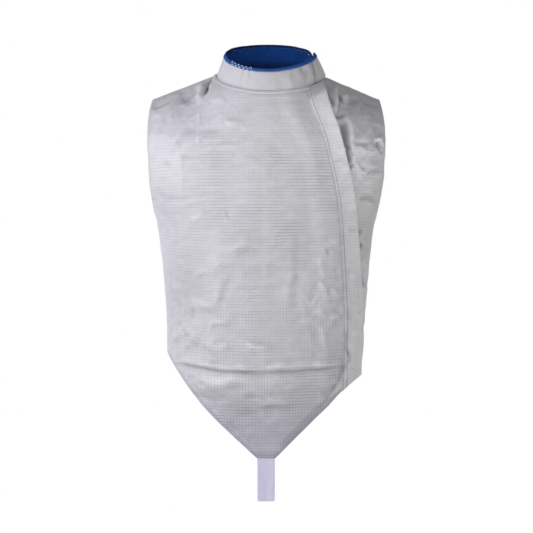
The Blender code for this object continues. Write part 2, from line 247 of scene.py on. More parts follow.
def neckline(t, distance=0.0):  # level of the front's neck edge, lower where the collar's end draws away
    t = np.asarray(t, float)
    reach = np.linalg.norm(sectionPoint(t, form["armLine"], front) - topEdge(t, front)[0], axis=1)
    drawn = form["footSpread"] * smooth(neckAngle(t, front) / form["collarEnd"])
    return np.where(t >= form["neckShare"], 0.0, form["armLine"] * (distance + drawn) / reach)


def flapLift(t, h):  # the front rises over the left panel's hidden edge
    inner, free = shareOf(underlapShares, h), shareOf(freeShares, h)
    over = smooth(1.5 + (t - inner) / cloth["flapRise"])
    return cloth["flapLift"] * over + cloth["flapStandOff"] * smooth((t - inner) / (free - inner))


def frontHem(t, free):
    tip = tipShare
    rightShare = curveThrough(np.maximum(-t - tip, 0.0) / (1.0 - tip), hemCurve[:, 0], hemCurve[:, 1])
    leftShare = curveThrough(np.maximum(t - tip, 0.0) / (free - tip), hemCurve[:, 0], hemCurve[:, 2])
    return np.where(t < 0.0, mix(cloth["tip"], cloth["rightHem"], rightShare),
                    mix(cloth["tip"], cloth["flapCorner"], leftShare))


sweep = np.linspace(0.0, 0.4, 400)
tipShare = float(np.interp(cloth["tipHalf"], sectionPoint(sweep, cloth["tip"], front)[:, 0], sweep))
neckDrop = float(neckline([form["neckShare"] * form["collarEnd"] / form["seamAngle"]])[0])
print("form ready, tip share %.4f, neck drop %.4f" % (tipShare, neckDrop))


# relief: soft waves all over and creases placed one by one

# sum of slow waves in many directions, about -1 to 1
def softWaves(points, size, seed, stretch=(1.0, 1.0, 1.0)):
    rng = np.random.default_rng(seed)
    total = np.zeros(len(points))
    for _ in range(14):
        way = unit(rng.normal(size=3)) * np.array(stretch)
        pace = 2.0 * math.pi / (size * rng.uniform(0.75, 1.6))
        total += np.sin(points @ way * pace + rng.uniform(0.0, 6.28))
    return total / 5.0


# Creases, millimetres: from (across, height) to (across, height), rise outwards, reach on the two sides, and
# the bow of those that have one.  The first side is the upper one of a crease drawn left to right and the
# right one of a crease drawn down.
frontCreases = (
    # the crease of folded storage that crosses the V
    (-158, -460, 2, -476, 3.6, 10, 2.6, -2), (-48, -474, 134, -464, 3.6, 10, 2.6, -2),
    # a lesser one above it
    (-34, -437, 6, -434, 1.8, 3, 9), (-20, -452, 60, -449, 0.8, 8, 10),
    # soft diagonals towards the right side seam
    (-128, -421, -96, -406, 1.7, 11, 8, 1), (-104, -408, -50, -392, 1.4, 12, 9, 3),
    (-152, -424, -128, -421, 1.6, 9, 6), (-96, -438, -58, -430, 1.2, 9, 9),
    (-134, -446, -100, -434, -1.2, 8, 8), (-24, -262, -66, -292, 1.2, 9, 10, 2),
    (-62, -290, -120, -330, 1.3, 10, 12, 2), (-46, -306, -72, -372, -1.0, 9, 10, -2),
    (-72, -322, -84, -386, 1.2, 9, 11), (-124, -356, -84, -376, 1.6, 7, 9),
    (-112, -372, -118, -398, -1.1, 4, 5), (-152, -346, -132, -340, 1.2, 8, 8),
    (-120, -236, -100, -221, 0.9, 6, 6), (-168, -202, -112, -197, -0.7, 4, 6),
    # below the storage crease
    (-100, -476, -97, -500, 1.4, 5, 6), (-108, -494, -10, -498, 2.4, 10, 18, 3),
    (-122, -508, -62, -526, -1.4, 9, 10), (-36, -520, -12, -512, -0.9, 6, 6),
    (-16, -528, 42, -527, 1.1, 6, 3.5, -1), (-56, -543, -10, -545, -0.7, 8, 8),
    (-10, -552, 40, -556, 0.9, 12, 12), (-64, -552, -42, -576, -0.9, 5, 6),
    # long soft folds down the belly
    (38, -252, 31, -410, 1.1, 9, 12, 1), (50, -240, 47, -400, -0.6, 6, 8), (80, -292, 92, -330, 1.5, 6, 7),
    (84, -330, 95, -366, 1.6, 5, 6), (84, -372, 93, -398, 1.6, 5, 6), (88, -400, 92, -446, 0.9, 7, 7),
    (-1, -70, -1, -440, 0.15, 4, 4), (58, -360, 60, -410, 0.7, 7, 7),
    # short ones near the closing edge
    (102, -342, 115, -362, 1.7, 4, 5), (98, -390, 118, -389, 1.2, 6, 5), (92, -287, 102, -284, -1.3, 5, 6),
    (94, -264, 116, -272, 0.9, 8, 8), (112, -306, 114, -334, -1.0, 4, 4), (128, -326, 142, -324, 1.2, 6, 6),
    (130, -392, 144, -384, 1.2, 6, 6), (132, -418, 146, -414, 1.2, 5, 5), (124, -214, 137, -206, 1.3, 4, 6),
    (126, -252, 141, -246, -1.1, 5, 5), (119, -158, 131, -150, 1.2, 4, 6),
    (127, -408, 130, -462, -2.2, 4, 4), (131, -458, 112, -498, -3.2, 6, 7, -1),
    (115, -492, 92, -530, -2.4, 6, 8),
    # right shoulder and armhole
    (-86, 8, -103, -36, -5.5, 2.8, 3.4, 1), (-99, -6, -112, -48, 2.2, 6, 8),
    (-140, -44, -106, -25, -2.4, 8, 6), (-190, -52, -152, -38, -1.6, 7, 7),
    (-166, -134, -148, -150, -0.9, 5, 5),
    # across the upper chest
    (-138, -92, -60, -93, -1.1, 5, 5), (-66, -79, -38, -81, 1.1, 5, 5), (-42, -79, -28, -93, 1.2, 5, 5),
    (-104, -107, -58, -108, 0.7, 4, 5), (-104, -119, -18, -118, 0.9, 5, 7),
    (-142, -135, -100, -133, -0.8, 5, 5), (-108, -46, -107, -122, 0.6, 3, 3),
    (-60, -214, -56, -240, -0.5, 4, 4), (-90, -44, -62, -45, 0.8, 6, 5),
)

leftCreases = (
    # crisp ones fanning down from the collar and crowding the closing edge
    (97, -20, 110, -52, -2.2, 3, 4), (108, -24, 117, -61, 1.8, 3, 4), (117, -22, 127, -41, -2.6, 3, 4),
    (106, -63, 133, -64, -1.8, 4, 3), (129, -70, 122, -102, -2.6, 4, 4),
    (127, -109, 136, -123, -2.4, 2.4, 3), (126, -125, 137, -141, -2.6, 2.4, 3),
    (131, -153, 142, -145, -2.0, 2.4, 3), (176, -106, 189, -128, -2.2, 2.4, 2.6),
    (179, -101, 191, -118, 1.8, 2.6, 3), (140, -141, 161, -162, 1.6, 4, 5),
    (160, -164, 188, -146, -1.6, 3, 4), (151, -122, 175, -132, 1.8, 6, 7),
    # folds that fan from the neck point down the shoulder
    (98, -6, 109, -50, -3.0, 4, 4), (112, -10, 115, -48, 2.2, 4, 4), (121, -14, 118, -62, -2.3, 5, 5, 1),
    (131, -24, 134, -52, 1.6, 6, 5), (124, -56, 156, -32, -1.3, 7, 7, 1), (158, -36, 184, -50, -1.1, 7, 8),
    # the hollow beside the closing edge, and the fuller cloth by the armhole
    (124, -44, 134, -164, -7.5, 4, 26), (134, -66, 136, -112, 1.4, 8, 4),
    (138, -119, 172, -104, -2.4, 4, 6, -1), (142, -126, 178, -118, 2.2, 8, 8, 2),
    (172, -104, 190, -100, 1.6, 4, 4), (174, -110, 187, -132, -3.0, 4, 4, 1),
    (166, -141, 188, -137, -1.2, 4, 5), (144, -150, 154, -172, 1.0, 5, 4),
    (150, -150, 160, -152, -1.4, 3, 4), (134, -112, 138, -122, 1.4, 3, 3),
    (137, -126, 139, -134, -1.4, 3, 3),
    # down the side
    (146, -198, 178, -205, -1.8, 5, 5), (148, -188, 176, -190, 1.0, 6, 6),
    (146, -250, 156, -254, -2.2, 6, 6), (147, -276, 157, -272, -2.0, 6, 6),
    (148, -318, 162, -346, -2.6, 5, 8), (150, -300, 165, -312, 1.0, 6, 7),
    (151, -372, 158, -396, -2.0, 5, 6),
)

backCreases = (
    # from the shoulder blades down and in
    (-150, -96, -78, -150, -1.8, 12, 15, 6), (148, -92, 84, -158, -1.8, 12, 15, -6),
    (-96, -130, -60, -262, 1.5, 15, 17, 8), (92, -138, 66, -276, 1.6, 15, 17, -6),
    (0, -60, 2, -300, -1.2, 16, 16),
    # across the small of the back
    (-132, -318, -22, -330, 2.4, 13, 6, -3), (10, -334, 130, -314, 2.2, 12, 6, -3),
    (-110, -352, 60, -366, 1.7, 12, 8, 2), (36, -372, 140, -356, 1.9, 12, 6),
    (-150, -386, -60, -398, 1.7, 11, 7),
    # side drags
    (-168, -236, -118, -222, 1.5, 8, 9), (172, -240, 122, -224, 1.5, 9, 8),
    (-164, -286, -112, -262, 1.5, 9, 11), (162, -292, 118, -268, 1.3, 11, 9),
    # by the collar
    (-70, 8, -96, -44, -1.8, 7, 8, 2), (72, 8, 98, -40, -1.8, 8, 7, -2), (-26, 6, -34, -36, 1.0, 8, 8),
    (30, 6, 40, -36, 1.0, 8, 8),
)


# Where the cloth has been crushed, millimetres: across, height, reach, strength.
crushed = (
    (-112, -438, 62, 1.0), (0, -560, 70, 0.25), (150, -140, 48, 1.6), (108, -370, 52, 0.8),
    (-160, -120, 48, 0.7), (150, -45, 45, 0.55), (-120, -40, 45, 0.4), (60, -440, 50, 0.5),
)


def crushedRelief(points):  # little sharp ridges that run in all directions
    bent = points + 0.004 * np.stack([softWaves(points, 0.030, seed) for seed in (41, 42, 43)], axis=1)
    amount = 0.22 + 0.28 * softWaves(points, 0.110, 45)
    for x, z, reach, strength in crushed:
        far = (points[:, 0] * 1000.0 - x) ** 2 + (points[:, 2] * 1000.0 - z) ** 2
        amount = amount + strength * np.exp(-far / reach ** 2)
    ridges = np.abs(softWaves(bent, 0.036, 44, (1.0, 1.0, 1.3))) + 0.5 * np.abs(softWaves(bent, 0.019, 46))
    return cloth["crush"] * np.maximum(amount, 0.0) * (0.7 - ridges)


def creaseRelief(points, creases):
    total = np.zeros(len(points))
    bend = np.stack((softWaves(points, 0.045, 31), softWaves(points, 0.045, 32)), axis=1)
    flat = points[:, (0, 2)] * 1000.0
    for x0, z0, x1, z1, rise, over, under, *bow in creases:
        start, run = np.array((x0, z0)), np.array((x1 - x0, z1 - z0), float)
        length = np.linalg.norm(run)
        way = run / length
        along = (flat - start) @ way / length
        stray = cloth["wander"] * min(1.0, 40.0 / length)  # long creases run straighter
        off = (flat + stray * bend - start) @ np.array((-way[1], way[0]))
        off = off - sum(bow) * 4.0 * along * (1.0 - along)
        ends = smooth(along / 0.38 + 0.10) * smooth((1.0 - along) / 0.38 + 0.10)
        total += rise * ends * np.exp(-np.abs(off / np.where(off > 0.0, over, under)) ** 1.7)
    return cloth["crease"] * total * (1.0 + 0.4 * softWaves(points, 0.028, 33)) / 1000.0


# Lines pinched so sharply that almost no light gets in, millimetres: from, to, half width, darkness.
frontPinches = (
    (-88, -5, -100, -28, 2.3, 1.9), (-152, -463, -60, -474, 1.7, 0.15), (-60, -474, 30, -477, 1.7, 0.40),
    (30, -477, 118, -469, 1.7, 0.45), (-15, -533, 40, -532, 2.0, 0.35), (-118, -512, -78, -524, 2.4, 0.25),
    (129, -452, 123, -480, 2.2, 0.7), (123, -480, 104, -512, 2.2, 0.5), (104, -512, 88, -532, 2.4, 0.35),
    (-140, -47, -112, -33, 3.0, 0.35), (-34, -320, -28, -326, 2.0, 0.25), (106, -346, 115, -361, 1.8, 0.35),
    (-20, -433, 4, -432, 1.8, 0.3), (134, -466, 104, -510, 1.3, 0.35),
)
placketPinches = (
    (126, -318, 148, -320, 1.6, 0.4), (131, -446, 133, -466, 1.8, 1.0), (135, -471, 146, -477, 1.8, 0.35),
    (147, -330, 149, -385, 1.3, 0.35), (128, -372, 134, -396, 1.6, 0.3), (92, -72, 99, -88, 2.0, 0.25),
)
leftPinches = (
    (99, -16, 107, -46, 2.2, 0.5), (117, -20, 125, -40, 2.4, 0.45), (107, -64, 132, -65, 1.8, 0.5),
    (126, -72, 121, -100, 3.0, 0.6), (127, -108, 135, -122, 1.9, 0.9), (127, -125, 137, -140, 1.9, 1.0),
    (131, -152, 141, -145, 1.8, 0.6), (122, -100, 128, -124, 4.0, 0.7), (177, -107, 188, -127, 1.8, 0.7),
    (161, -162, 186, -147, 2.0, 0.35), (146, -200, 176, -205, 2.0, 0.3), (150, -252, 156, -254, 3.0, 0.4),
    (150, -275, 157, -273, 3.0, 0.35), (151, -320, 160, -342, 2.4, 0.4), (133, -30, 150, -42, 2.6, 0.2),
)


def pinched(points, lines):
    flat, total = points[:, (0, 2)] * 1000.0, np.zeros(len(points))
    flat = flat + 1.2 * np.stack((softWaves(points, 0.020, 35), softWaves(points, 0.020, 36)), axis=1)
    for x0, z0, x1, z1, width, dark in lines:
        start, run = np.array((x0, z0), float), np.array((x1 - x0, z1 - z0), float)
        along = (flat - start) @ run / (run @ run)
        off = np.linalg.norm(flat - start - np.clip(along, 0.0, 1.0)[:, None] * run, axis=1)
        fade = 0.35 + 0.65 * smooth(along / 0.3 + 0.2) * smooth((1.0 - along) / 0.3 + 0.2)
        total = np.maximum(total, dark * fade * np.exp(-(off / width) ** 2))
    return total


# patches of painted shade (positive darkness) and painted highlight (negative darkness): x, z, half width and
# half height in mm, darkness
frontPaintedTones = (
    (-130, -345, 30, 62, 0.33), (-86, -490, 28, 13, -0.42), (-28, -506, 28, 9, -0.35),
    (20, -494, 42, 12, -0.30), (70, -340, 32, 50, -0.18), (-142, -40, 30, 20, 0.18),
)
leftPaintedTones = (
    (158, -275, 18, 52, 0.42), (150, -50, 28, 22, 0.34), (166, -156, 20, 34, -0.34),
)


def paintedTone(points, tones):
    flat = points[:, (0, 2)] * 1000.0
    return sum(dark * np.exp(-((flat[:, 0] - x) / wide) ** 2 - ((flat[:, 1] - z) / high) ** 2)
               for x, z, wide, high, dark in tones)


# the armhole's facing: its middle and its reach, how it lifts the cloth, and the painted highlight on the
# cloth over it
facing = {"x": -0.190, "z": -0.171, "wide": 0.056, "high": 0.075, "roundness": 3.5,
          "rise": 0.0004, "paintedShine": 0.009}
# how the V leans back to its tip and curls back along its left edge
vee = {"lean": 0.007, "tipLean": 0.0025, "curl": 0.0085, "curlWidth": 0.017, "edge": 0.6322}
# soft waves all over: height, length, seed, stretch
softness = ((0.0010, 0.085, 11, (1.0, 1.0, 0.75)), (0.0003, 0.032, 5, (1.0, 1.0, 1.0)),
            (0.00022, 0.016, 17, (0.8, 0.8, 1.2)))


def faced(points):  # where the facing lies under the cloth, 0 to 1
    x, z = points[:, 0], points[:, 2]
    far = np.abs((x - facing["x"]) / facing["wide"]) ** facing["roundness"]
    far = far + np.abs((z - facing["z"]) / facing["high"]) ** facing["roundness"]
    return smooth((1.10 - far) / 0.20) * smooth((z + 0.225) / 0.09)


def relief(points, side):
    waves = sum(high * softWaves(points, size, seed, stretch) for high, size, seed, stretch in softness)
    creases = frontCreases if side == front else backCreases
    return waves + crushedRelief(points) + creaseRelief(points, creases)


def tucked(points):
    x, z = points[:, 0], np.maximum(points[:, 2], cloth["tip"])
    off = (vee["edge"] - (x - z)) / math.sqrt(2.0)
    back = vee["lean"] * smooth((-0.485 - z) / 0.13) + vee["tipLean"] * smooth((-0.602 - z) / 0.014)
    curl = vee["curl"] * smooth(1.0 - off / vee["curlWidth"]) * smooth((x - 0.008) / 0.04)
    curl = curl * smooth((-0.502 - z) / 0.03)
    return points + np.stack((np.zeros(len(x)), back + curl, np.zeros(len(x))), axis=1)


# laying cloth: a grid of points, thickened outwards

weaveCells = 160
weaveShares, weaveHeights = np.linspace(-1.0, 1.0, weaveCells + 1), np.linspace(lowest, 0.0, weaveCells + 1)


def runAlong(line):  # distance of each point along its line
    return np.concatenate(([0.0], np.cumsum(np.linalg.norm(np.diff(line, axis=0), axis=1))))


def between(table, i, j, a, b):  # a table's value at row i + a and column j + b
    return mix(mix(table[i, j], table[i, j + 1], b), mix(table[i + 1, j], table[i + 1, j + 1], b), a)


def weaveTable(side):  # distance across and down along the cloth, metres
    t, h = [a.ravel() for a in np.meshgrid(weaveShares, weaveHeights)]
    points = formPoint(t, h, side)
    arm = sectionPoint(weaveShares, form["armLine"], side)
    armRun = runAlong(arm)
    armRun -= np.interp(0.0, arm[:, 0], armRun)
    levels = np.linspace(lowest, form["armLine"], 40)
    lengths = [0.5 * runAlong(sectionPoint(weaveShares, level, side))[-1] for level in levels]
    u = np.where(h > form["armLine"], np.interp(points[:, 0], arm[:, 0], armRun),
                 t * np.interp(np.minimum(h, form["armLine"]), levels, lengths))
    shape = (len(weaveHeights), len(weaveShares))
    grid, u = points.reshape(*shape, 3), u.reshape(shape)
    step = np.linalg.norm(np.diff(grid, axis=0), axis=2)
    rise = np.sqrt(np.maximum(step ** 2 - np.diff(u, axis=0) ** 2, 1e-12))
    v = np.vstack((np.zeros(shape[1]), np.cumsum(rise, axis=0)))
    return u, v - v[int(np.searchsorted(weaveHeights, form["armLine"]))] + form["armLine"]


weave = {side: weaveTable(side) for side in (front, back)}


def weaveAt(t, h, side):
    column = np.clip((t + 1.0) / 2.0 * weaveCells, 0.0, weaveCells - 0.001)
    row = np.clip((h - lowest) / -lowest * weaveCells, 0.0, weaveCells - 0.001)
    i, j = row.astype(int), column.astype(int)
    return np.stack([between(table, i, j, row - i, column - j) for table in weave[side]], axis=1)


def steps(*stops):  # values from stop to stop, each stop is (value, number of steps to it)
    values = [stops[0][0]]
    for (start, _), (end, count) in zip(stops, stops[1:]):
        values += [mix(start, end, (i + 1) / count) for i in range(count)]
    return np.array(values)


def nearest(points, line):  # distance from each point to a line of points
    dense = [mix(a, b, share) for a, b in zip(line, line[1:]) for share in (0.0, 0.25, 0.5, 0.75)]
    dense.append(line[-1])
    tree = kdtree.KDTree(len(dense))
    for i, p in enumerate(dense):
        tree.insert(p, i)
    tree.balance()
    return np.array([tree.find(p)[2] for p in points])


def hollows(grid, normals):  # how far each point lies below the cloth close round it
    level = grid
    for _ in range(6):
        wide = np.pad(level, ((1, 1), (1, 1), (0, 0)), mode="edge")
        level = 0.2 * (level + wide[:-2, 1:-1] + wide[2:, 1:-1] + wide[1:-1, :-2] + wide[1:-1, 2:])
    return ((level - grid) * normals).sum(axis=2).ravel()


def placed(name, data):  # an object at the origin
    thing = bpy.data.objects.new(name, data)
    bpy.context.scene.collection.objects.link(thing)
    return thing


def meshPiece(name, points, edges, faces, *materials):
    mesh = bpy.data.meshes.new(name)
    mesh.from_pydata(points, edges, faces)
    for material in materials:
        mesh.materials.append(material)
    return placed(name, mesh)


# place gives each point of the grid, its place on the weave, how far it lies out and how much painted shade
# or painted highlight it carries besides
def layCloth(name, columns, rows, place, wall, material, edge=None, paintedShadingStrength=0.0):
    rows = np.atleast_2d(rows)
    across, down = len(columns), rows.shape[1]
    q, k = [a.ravel() for a in np.meshgrid(columns, np.arange(down))]
    points, uv, *more = place(q, *rows[:, k])
    out, dark = (*more, 0.0, 0.0)[:2]
    grid = points.reshape(down, across, 3)
    normals = unit(np.cross(np.gradient(grid, axis=0), np.gradient(grid, axis=1)))
    index = np.arange(down * across).reshape(down, across)
    faces = np.stack((index[:-1, :-1], index[1:, :-1], index[1:, 1:], index[:-1, 1:]), axis=-1).reshape(-1, 4)
    piece = meshPiece(name, points.tolist(), [], faces.tolist(), material)
    mesh = piece.data
    mesh.uv_layers.new(name="cloth").data.foreach_set("uv", uv[faces.ravel()].ravel())
    if callable(edge):
        edge = edge(q, rows[0, k])
    else:
        edge = np.full(len(points), cloth["farEdge"]) if edge is None else nearest(points, grid[edge])
    # painted shade in troughs and where the cloth lies deep, painted highlight on ridges and where it stands
    # out
    hollow = hollows(grid, normals)
    hollow = paintedShadingStrength * np.tanh((hollow - np.median(hollow)) / cloth["hollow"] - out / cloth["depth"]) + dark
    for field, values in (("edge", edge), ("hollow", hollow)):
        mesh.attributes.new(field, "FLOAT", "POINT").data.foreach_set("value", values.astype(np.float32))
    mesh.shade_smooth()
    if wall:
        solid = piece.modifiers.new("Wall", "SOLIDIFY")
        solid.thickness, solid.offset = wall, 1.0
        soft = piece.modifiers.new("Soft edge", "BEVEL")
        soft.width, soft.segments = cloth["softEdge"], 2
        soft.limit_method, soft.angle_limit = "ANGLE", math.radians(60)
    area = np.linalg.norm(np.cross(np.diff(grid, axis=0)[:, :-1], np.diff(grid, axis=1)[:-1]), axis=2).sum()
    print("%s: %d faces, %.3f m2" % (name, len(faces), area))
    return {"piece": piece, "grid": grid, "normals": normals, "wall": wall}


# materials

def linear(hexText):  # sRGB hex to linear colour
    parts = [int(hexText[i:i + 2], 16) / 255.0 for i in (1, 3, 5)]
    return tuple(c / 12.92 if c <= 0.04045 else ((c + 0.055) / 1.055) ** 2.4 for c in parts) + (1.0,)


# Inputs come in their order, or by name or number in a dictionary: a colour mix has its share at 0 and its
# two colours at 6 and 7.
def addNode(tree, kind, *inputs, **settings):
    node = tree.nodes.new(kind if "Node" in kind else "ShaderNode" + kind)
    for name, value in settings.items():
        setattr(node, name, value)
    given = {}
    for order, value in enumerate(inputs):
        given.update(value if isinstance(value, dict) else {order: value})
    for name, value in given.items():
        if isinstance(value, bpy.types.Node):  # a node stands for its first output in use
            value = next(output for output in value.outputs if output.enabled)
        if isinstance(value, bpy.types.NodeSocket):
            tree.links.new(value, node.inputs[name])
        else:
            node.inputs[name].default_value = linear(value) if isinstance(value, str) else value
    return node


def newMaterial(name):
    material = bpy.data.materials.new(name)
    material.use_nodes = True
    material.node_tree.nodes.clear()
    return material, partial(addNode, material.node_tree)


def finish(add, colour, roughness, height, strength=1.0, distance=1.0, **fixed):
    bump = add("Bump", {"Strength": strength, "Distance": distance, "Height": height})
    shader = add("BsdfPrincipled", {"Base Color": colour, "Roughness": roughness, "Normal": bump})
    for socket, value in fixed.items():
        shader.inputs[socket.replace("_", " ")].default_value = value
    return add("OutputMaterial", shader)


def bands(pitch):  # scale of a wave texture whose bands lie that far apart
    return math.pi / 10.0 / pitch


eased = {"interpolation_type": "SMOOTHSTEP"}

# Woven metal cloth: steel and nickel threads in a light cotton check.  Grey, with a soft broad sheen, a fine
# grid of heavier threads every few millimetres and small crumples that never iron out.
metalCloth = {
    "colour": "#e4e4e5", "deep": "#cfcfd1", "paintedSheen": "#d9d8e6", "thread": "#85858c",
    "pitch": 0.0050,  # between the heavier threads
    "upright": 0.20, "cross": 0.42,  # how much they show
    "fine": 0.0011,  # plain weave, drawn coarser than the real 0.3 mm so that it shows
    "metallic": 0.40, "roughness": 0.55,
    "crumpleHeight": 0.0013, "fineHeight": 0.00012, "threadHeight": -0.00016,
    "groove": 0.0011, "pucker": 0.0009,  # reach of the groove at a seam, height of the puckers beside it
    "paintedRidgeLight": 1.27, "paintedTroughShade": 0.26,  # painted highlight on ridges, painted shade in troughs
}

# How the look shifts over the cloth: which way, from, to, and the values there, one of which may be a row
# above.  Threads across show most over the chest and fade to its right side, upright ones show most low down,
# and a painted violet sheen lies at the tip of the V and along the side of the belly.
shifts = (
    ("inwards", "X", -0.19, -0.05, 0.38, 1.0), ("belly", "Y", -0.52, -0.40, 1.5, 0.9),
    ("chest", "Y", -0.32, -0.24, "belly", 1.6), ("cross", "Y", -0.13, -0.08, "chest", 0.5),
    ("upright", "Y", -0.50, -0.25, 2.0, 0.75), ("tip", "Y", -0.61, -0.47, 0.7, 0.0),
    ("belowArm", "Y", -0.26, -0.14, 0.45, 0.0), ("aside", "X", -0.18, -0.12, "belowArm", 0.0),
)


def metalClothMaterial(name, seams, depth=0.0003, shown=1.0, paintedBrightness=1.0, ink=0.25):
    m = metalCloth
    material, add = newMaterial(name)
    uv = add("UVMap", uv_map="cloth")
    place = add("SeparateXYZ", uv)
    shift = {}
    for key, way, start, end, low, high in shifts:
        shift[key] = add("MapRange", place.outputs[way], start, end, shift.get(low, low), high, **eased)
    threads, fine = [], []
    for way, key, wander, patch in (("X", "upright", 0.4, 21.0), ("Y", "cross", 1.0, 15.0)):
        most = add("Math", shift[key], shift["inwards"], operation="MULTIPLY")
        wave = add("TexWave", {"Vector": uv, "Scale": bands(m["pitch"]), "Distortion": wander,
                       "Detail": 1.0, "Detail Scale": 1.3}, bands_direction=way)
        line = add("MapRange", wave.outputs["Fac"], 0.80, 1.0, 0.0, m[key] * shown)
        patches = add("TexNoise", {"Vector": uv, "Scale": patch, "Detail": 5.0, "Roughness": 0.62})
        uneven = add("MapRange", patches, 0.36, 0.62, 0.12, most)
        threads.append(add("Math", line, uneven, operation="MULTIPLY"))
        wave = add("TexWave", {"Vector": uv, "Scale": bands(m["fine"])}, bands_direction=way)
        fine.append(wave.outputs["Fac"])
    grid = add("Math", *threads, operation="MAXIMUM")
    fine = add("Math", *fine, operation="MULTIPLY")
    slubs = add("TexNoise", {"Vector": uv, "Scale": 420.0, "Detail": 2.0})
    ground = add("Mix", {0: slubs, 6: m["deep"], 7: m["colour"]}, data_type="RGBA")
    # painted violet sheen at the tip of the V and along the side of the belly
    paintedSheen = add("Math", shift["tip"], shift["aside"], operation="MAXIMUM")
    ground = add("Mix", {0: paintedSheen, 6: ground, 7: m["paintedSheen"]}, data_type="RGBA")
    crumple = add("TexNoise", {"Vector": uv, "Scale": 74.0, "Detail": 5.0, "Roughness": 0.55,
                      "Distortion": 0.6})
    height = add("Math", crumple, m["crumpleHeight"], operation="MULTIPLY")
    height = add("Math", fine, m["fineHeight"], height, operation="MULTIPLY_ADD")
    height = add("Math", grid, m["threadHeight"], height, operation="MULTIPLY_ADD")
    # cloth is pulled in along a stitch line and puckers beside it
    edge = add("Attribute", attribute_name="edge").outputs["Fac"]
    pull = add("TexNoise", {"Vector": uv, "Scale": 150.0, "Detail": 2.0})
    for at in seams:
        off = add("Math", edge, at, operation="SUBTRACT")
        off = add("Math", off, operation="ABSOLUTE")
        dent, near, mark = [add("MapRange", off, start, end, most, 0.0, **eased) for start, end, most in
                            ((0.0, m["groove"], -depth), (0.0, 0.006, m["pucker"]), (0.0002, 0.0010, ink))]
        grid = add("Math", grid, mark, operation="MAXIMUM")
        height = add("Math", pull, near, height, operation="MULTIPLY_ADD")
        height = add("Math", dent, height, operation="ADD")
    colour = add("Mix", {0: grid, 6: ground, 7: m["thread"]}, data_type="RGBA")
    # painted shade and painted highlight from the cloth's relief, scaled by this copy's painted brightness
    hollow = add("Attribute", attribute_name="hollow").outputs["Fac"]
    shade = add("MapRange", hollow, -1.0, 2.0, m["paintedRidgeLight"] * paintedBrightness, m["paintedTroughShade"] * paintedBrightness)
    paintedTone = add("VectorMath", {0: colour, "Scale": shade}, operation="SCALE")
    finish(add, paintedTone, m["roughness"], height, Metallic=m["metallic"])
    return material


# Cotton drill, dyed royal blue and worn matt, with a fine diagonal rib
cotton = {"colour": "#0b4792", "dark": "#032660", "deep": "#021740", "binding": "#2d5eac",
          # the deep colour is painted shade deep inside the collar; the binding's dark colour also paints
          # shade inside its fold
          "bindingDark": "#06204f", "rib": 0.0016, "roughness": 0.85}


def cottonMaterial(name, colour, dark, fold=None, deep=None):
    material, add = newMaterial(name)
    uv = add("UVMap", uv_map="cloth")
    down = add("SeparateXYZ", uv).outputs["Y"]
    rib = add("TexWave", {"Vector": uv, "Scale": bands(cotton["rib"])}, bands_direction="DIAGONAL")
    rib = rib.outputs["Fac"]
    cloud = add("TexNoise", {"Vector": uv, "Scale": 90.0, "Detail": 4.0})
    worn = add("Math", rib, 0.2, cloud, operation="MULTIPLY_ADD")
    if fold:  # painted shade: darker inside the fold, paler outside it
        outsideFold = add("MapRange", down, fold - 0.0012, fold + 0.0006, 1.0, 0.0, **eased)
        worn = add("Math", worn, outsideFold, operation="MULTIPLY")
    blend = add("Mix", {0: worn, 6: dark, 7: colour}, data_type="RGBA")
    if deep:  # painted shade, darker deep inside the collar towards the neck seam
        below = add("MapRange", down, deep - 0.008, deep + 0.008, 0.8, 0.0, **eased)
        blend = add("Mix", {0: below, 6: blend, 7: cotton["deep"]}, data_type="RGBA")
    height = add("Math", cloud, 0.0007, operation="MULTIPLY")
    height = add("Math", rib, 0.00012, height, operation="MULTIPLY_ADD")
    finish(add, blend, cotton["roughness"], height, Specular_IOR_Level=0.2)
    return material


# Polyester and rubber webbing: white, faintly lilac, with lengthwise ribs
elastic = {"colour": "#efebf5", "shadow": "#e5e1ed", "streak": "#d9d7f8", "rib": 0.0022, "pick": 0.0012,
           "roughness": 0.7}


def elasticMaterial(name):
    material, add = newMaterial(name)
    uv = add("UVMap", uv_map="cloth")
    rib, pick = [add("TexWave", {"Vector": uv, "Scale": bands(elastic[key])},
                         bands_direction=way).outputs["Fac"] for key, way in (("rib", "X"), ("pick", "Y"))]
    blend = add("Mix", {0: rib, 6: elastic["shadow"], 7: elastic["colour"]}, data_type="RGBA")
    drawn = add("Mapping", {"Vector": uv, "Scale": (170.0, 16.0, 1.0)})
    drawn = add("TexNoise", {"Vector": drawn, "Scale": 1.0, "Detail": 3.0})
    streak = add("MapRange", drawn, 0.34, 0.66)
    blend = add("Mix", {0: streak, 6: blend, 7: elastic["streak"]}, data_type="RGBA")
    height = add("Math", pick, 0.00006, operation="MULTIPLY")
    height = add("Math", rib, 0.00010, height, operation="MULTIPLY_ADD")
    finish(add, blend, elastic["roughness"], height)
    return material


def threadMaterial(name, colour, roughness):  # spun polyester sewing thread, with a slight lustre
    material, add = newMaterial(name)
    place = add("TexCoord").outputs["Object"]
    twist = add("TexNoise", {"Vector": place, "Scale": 2600.0, "Detail": 1.0})
    finish(add, colour, roughness, twist, 0.5, 0.0001)
    return material


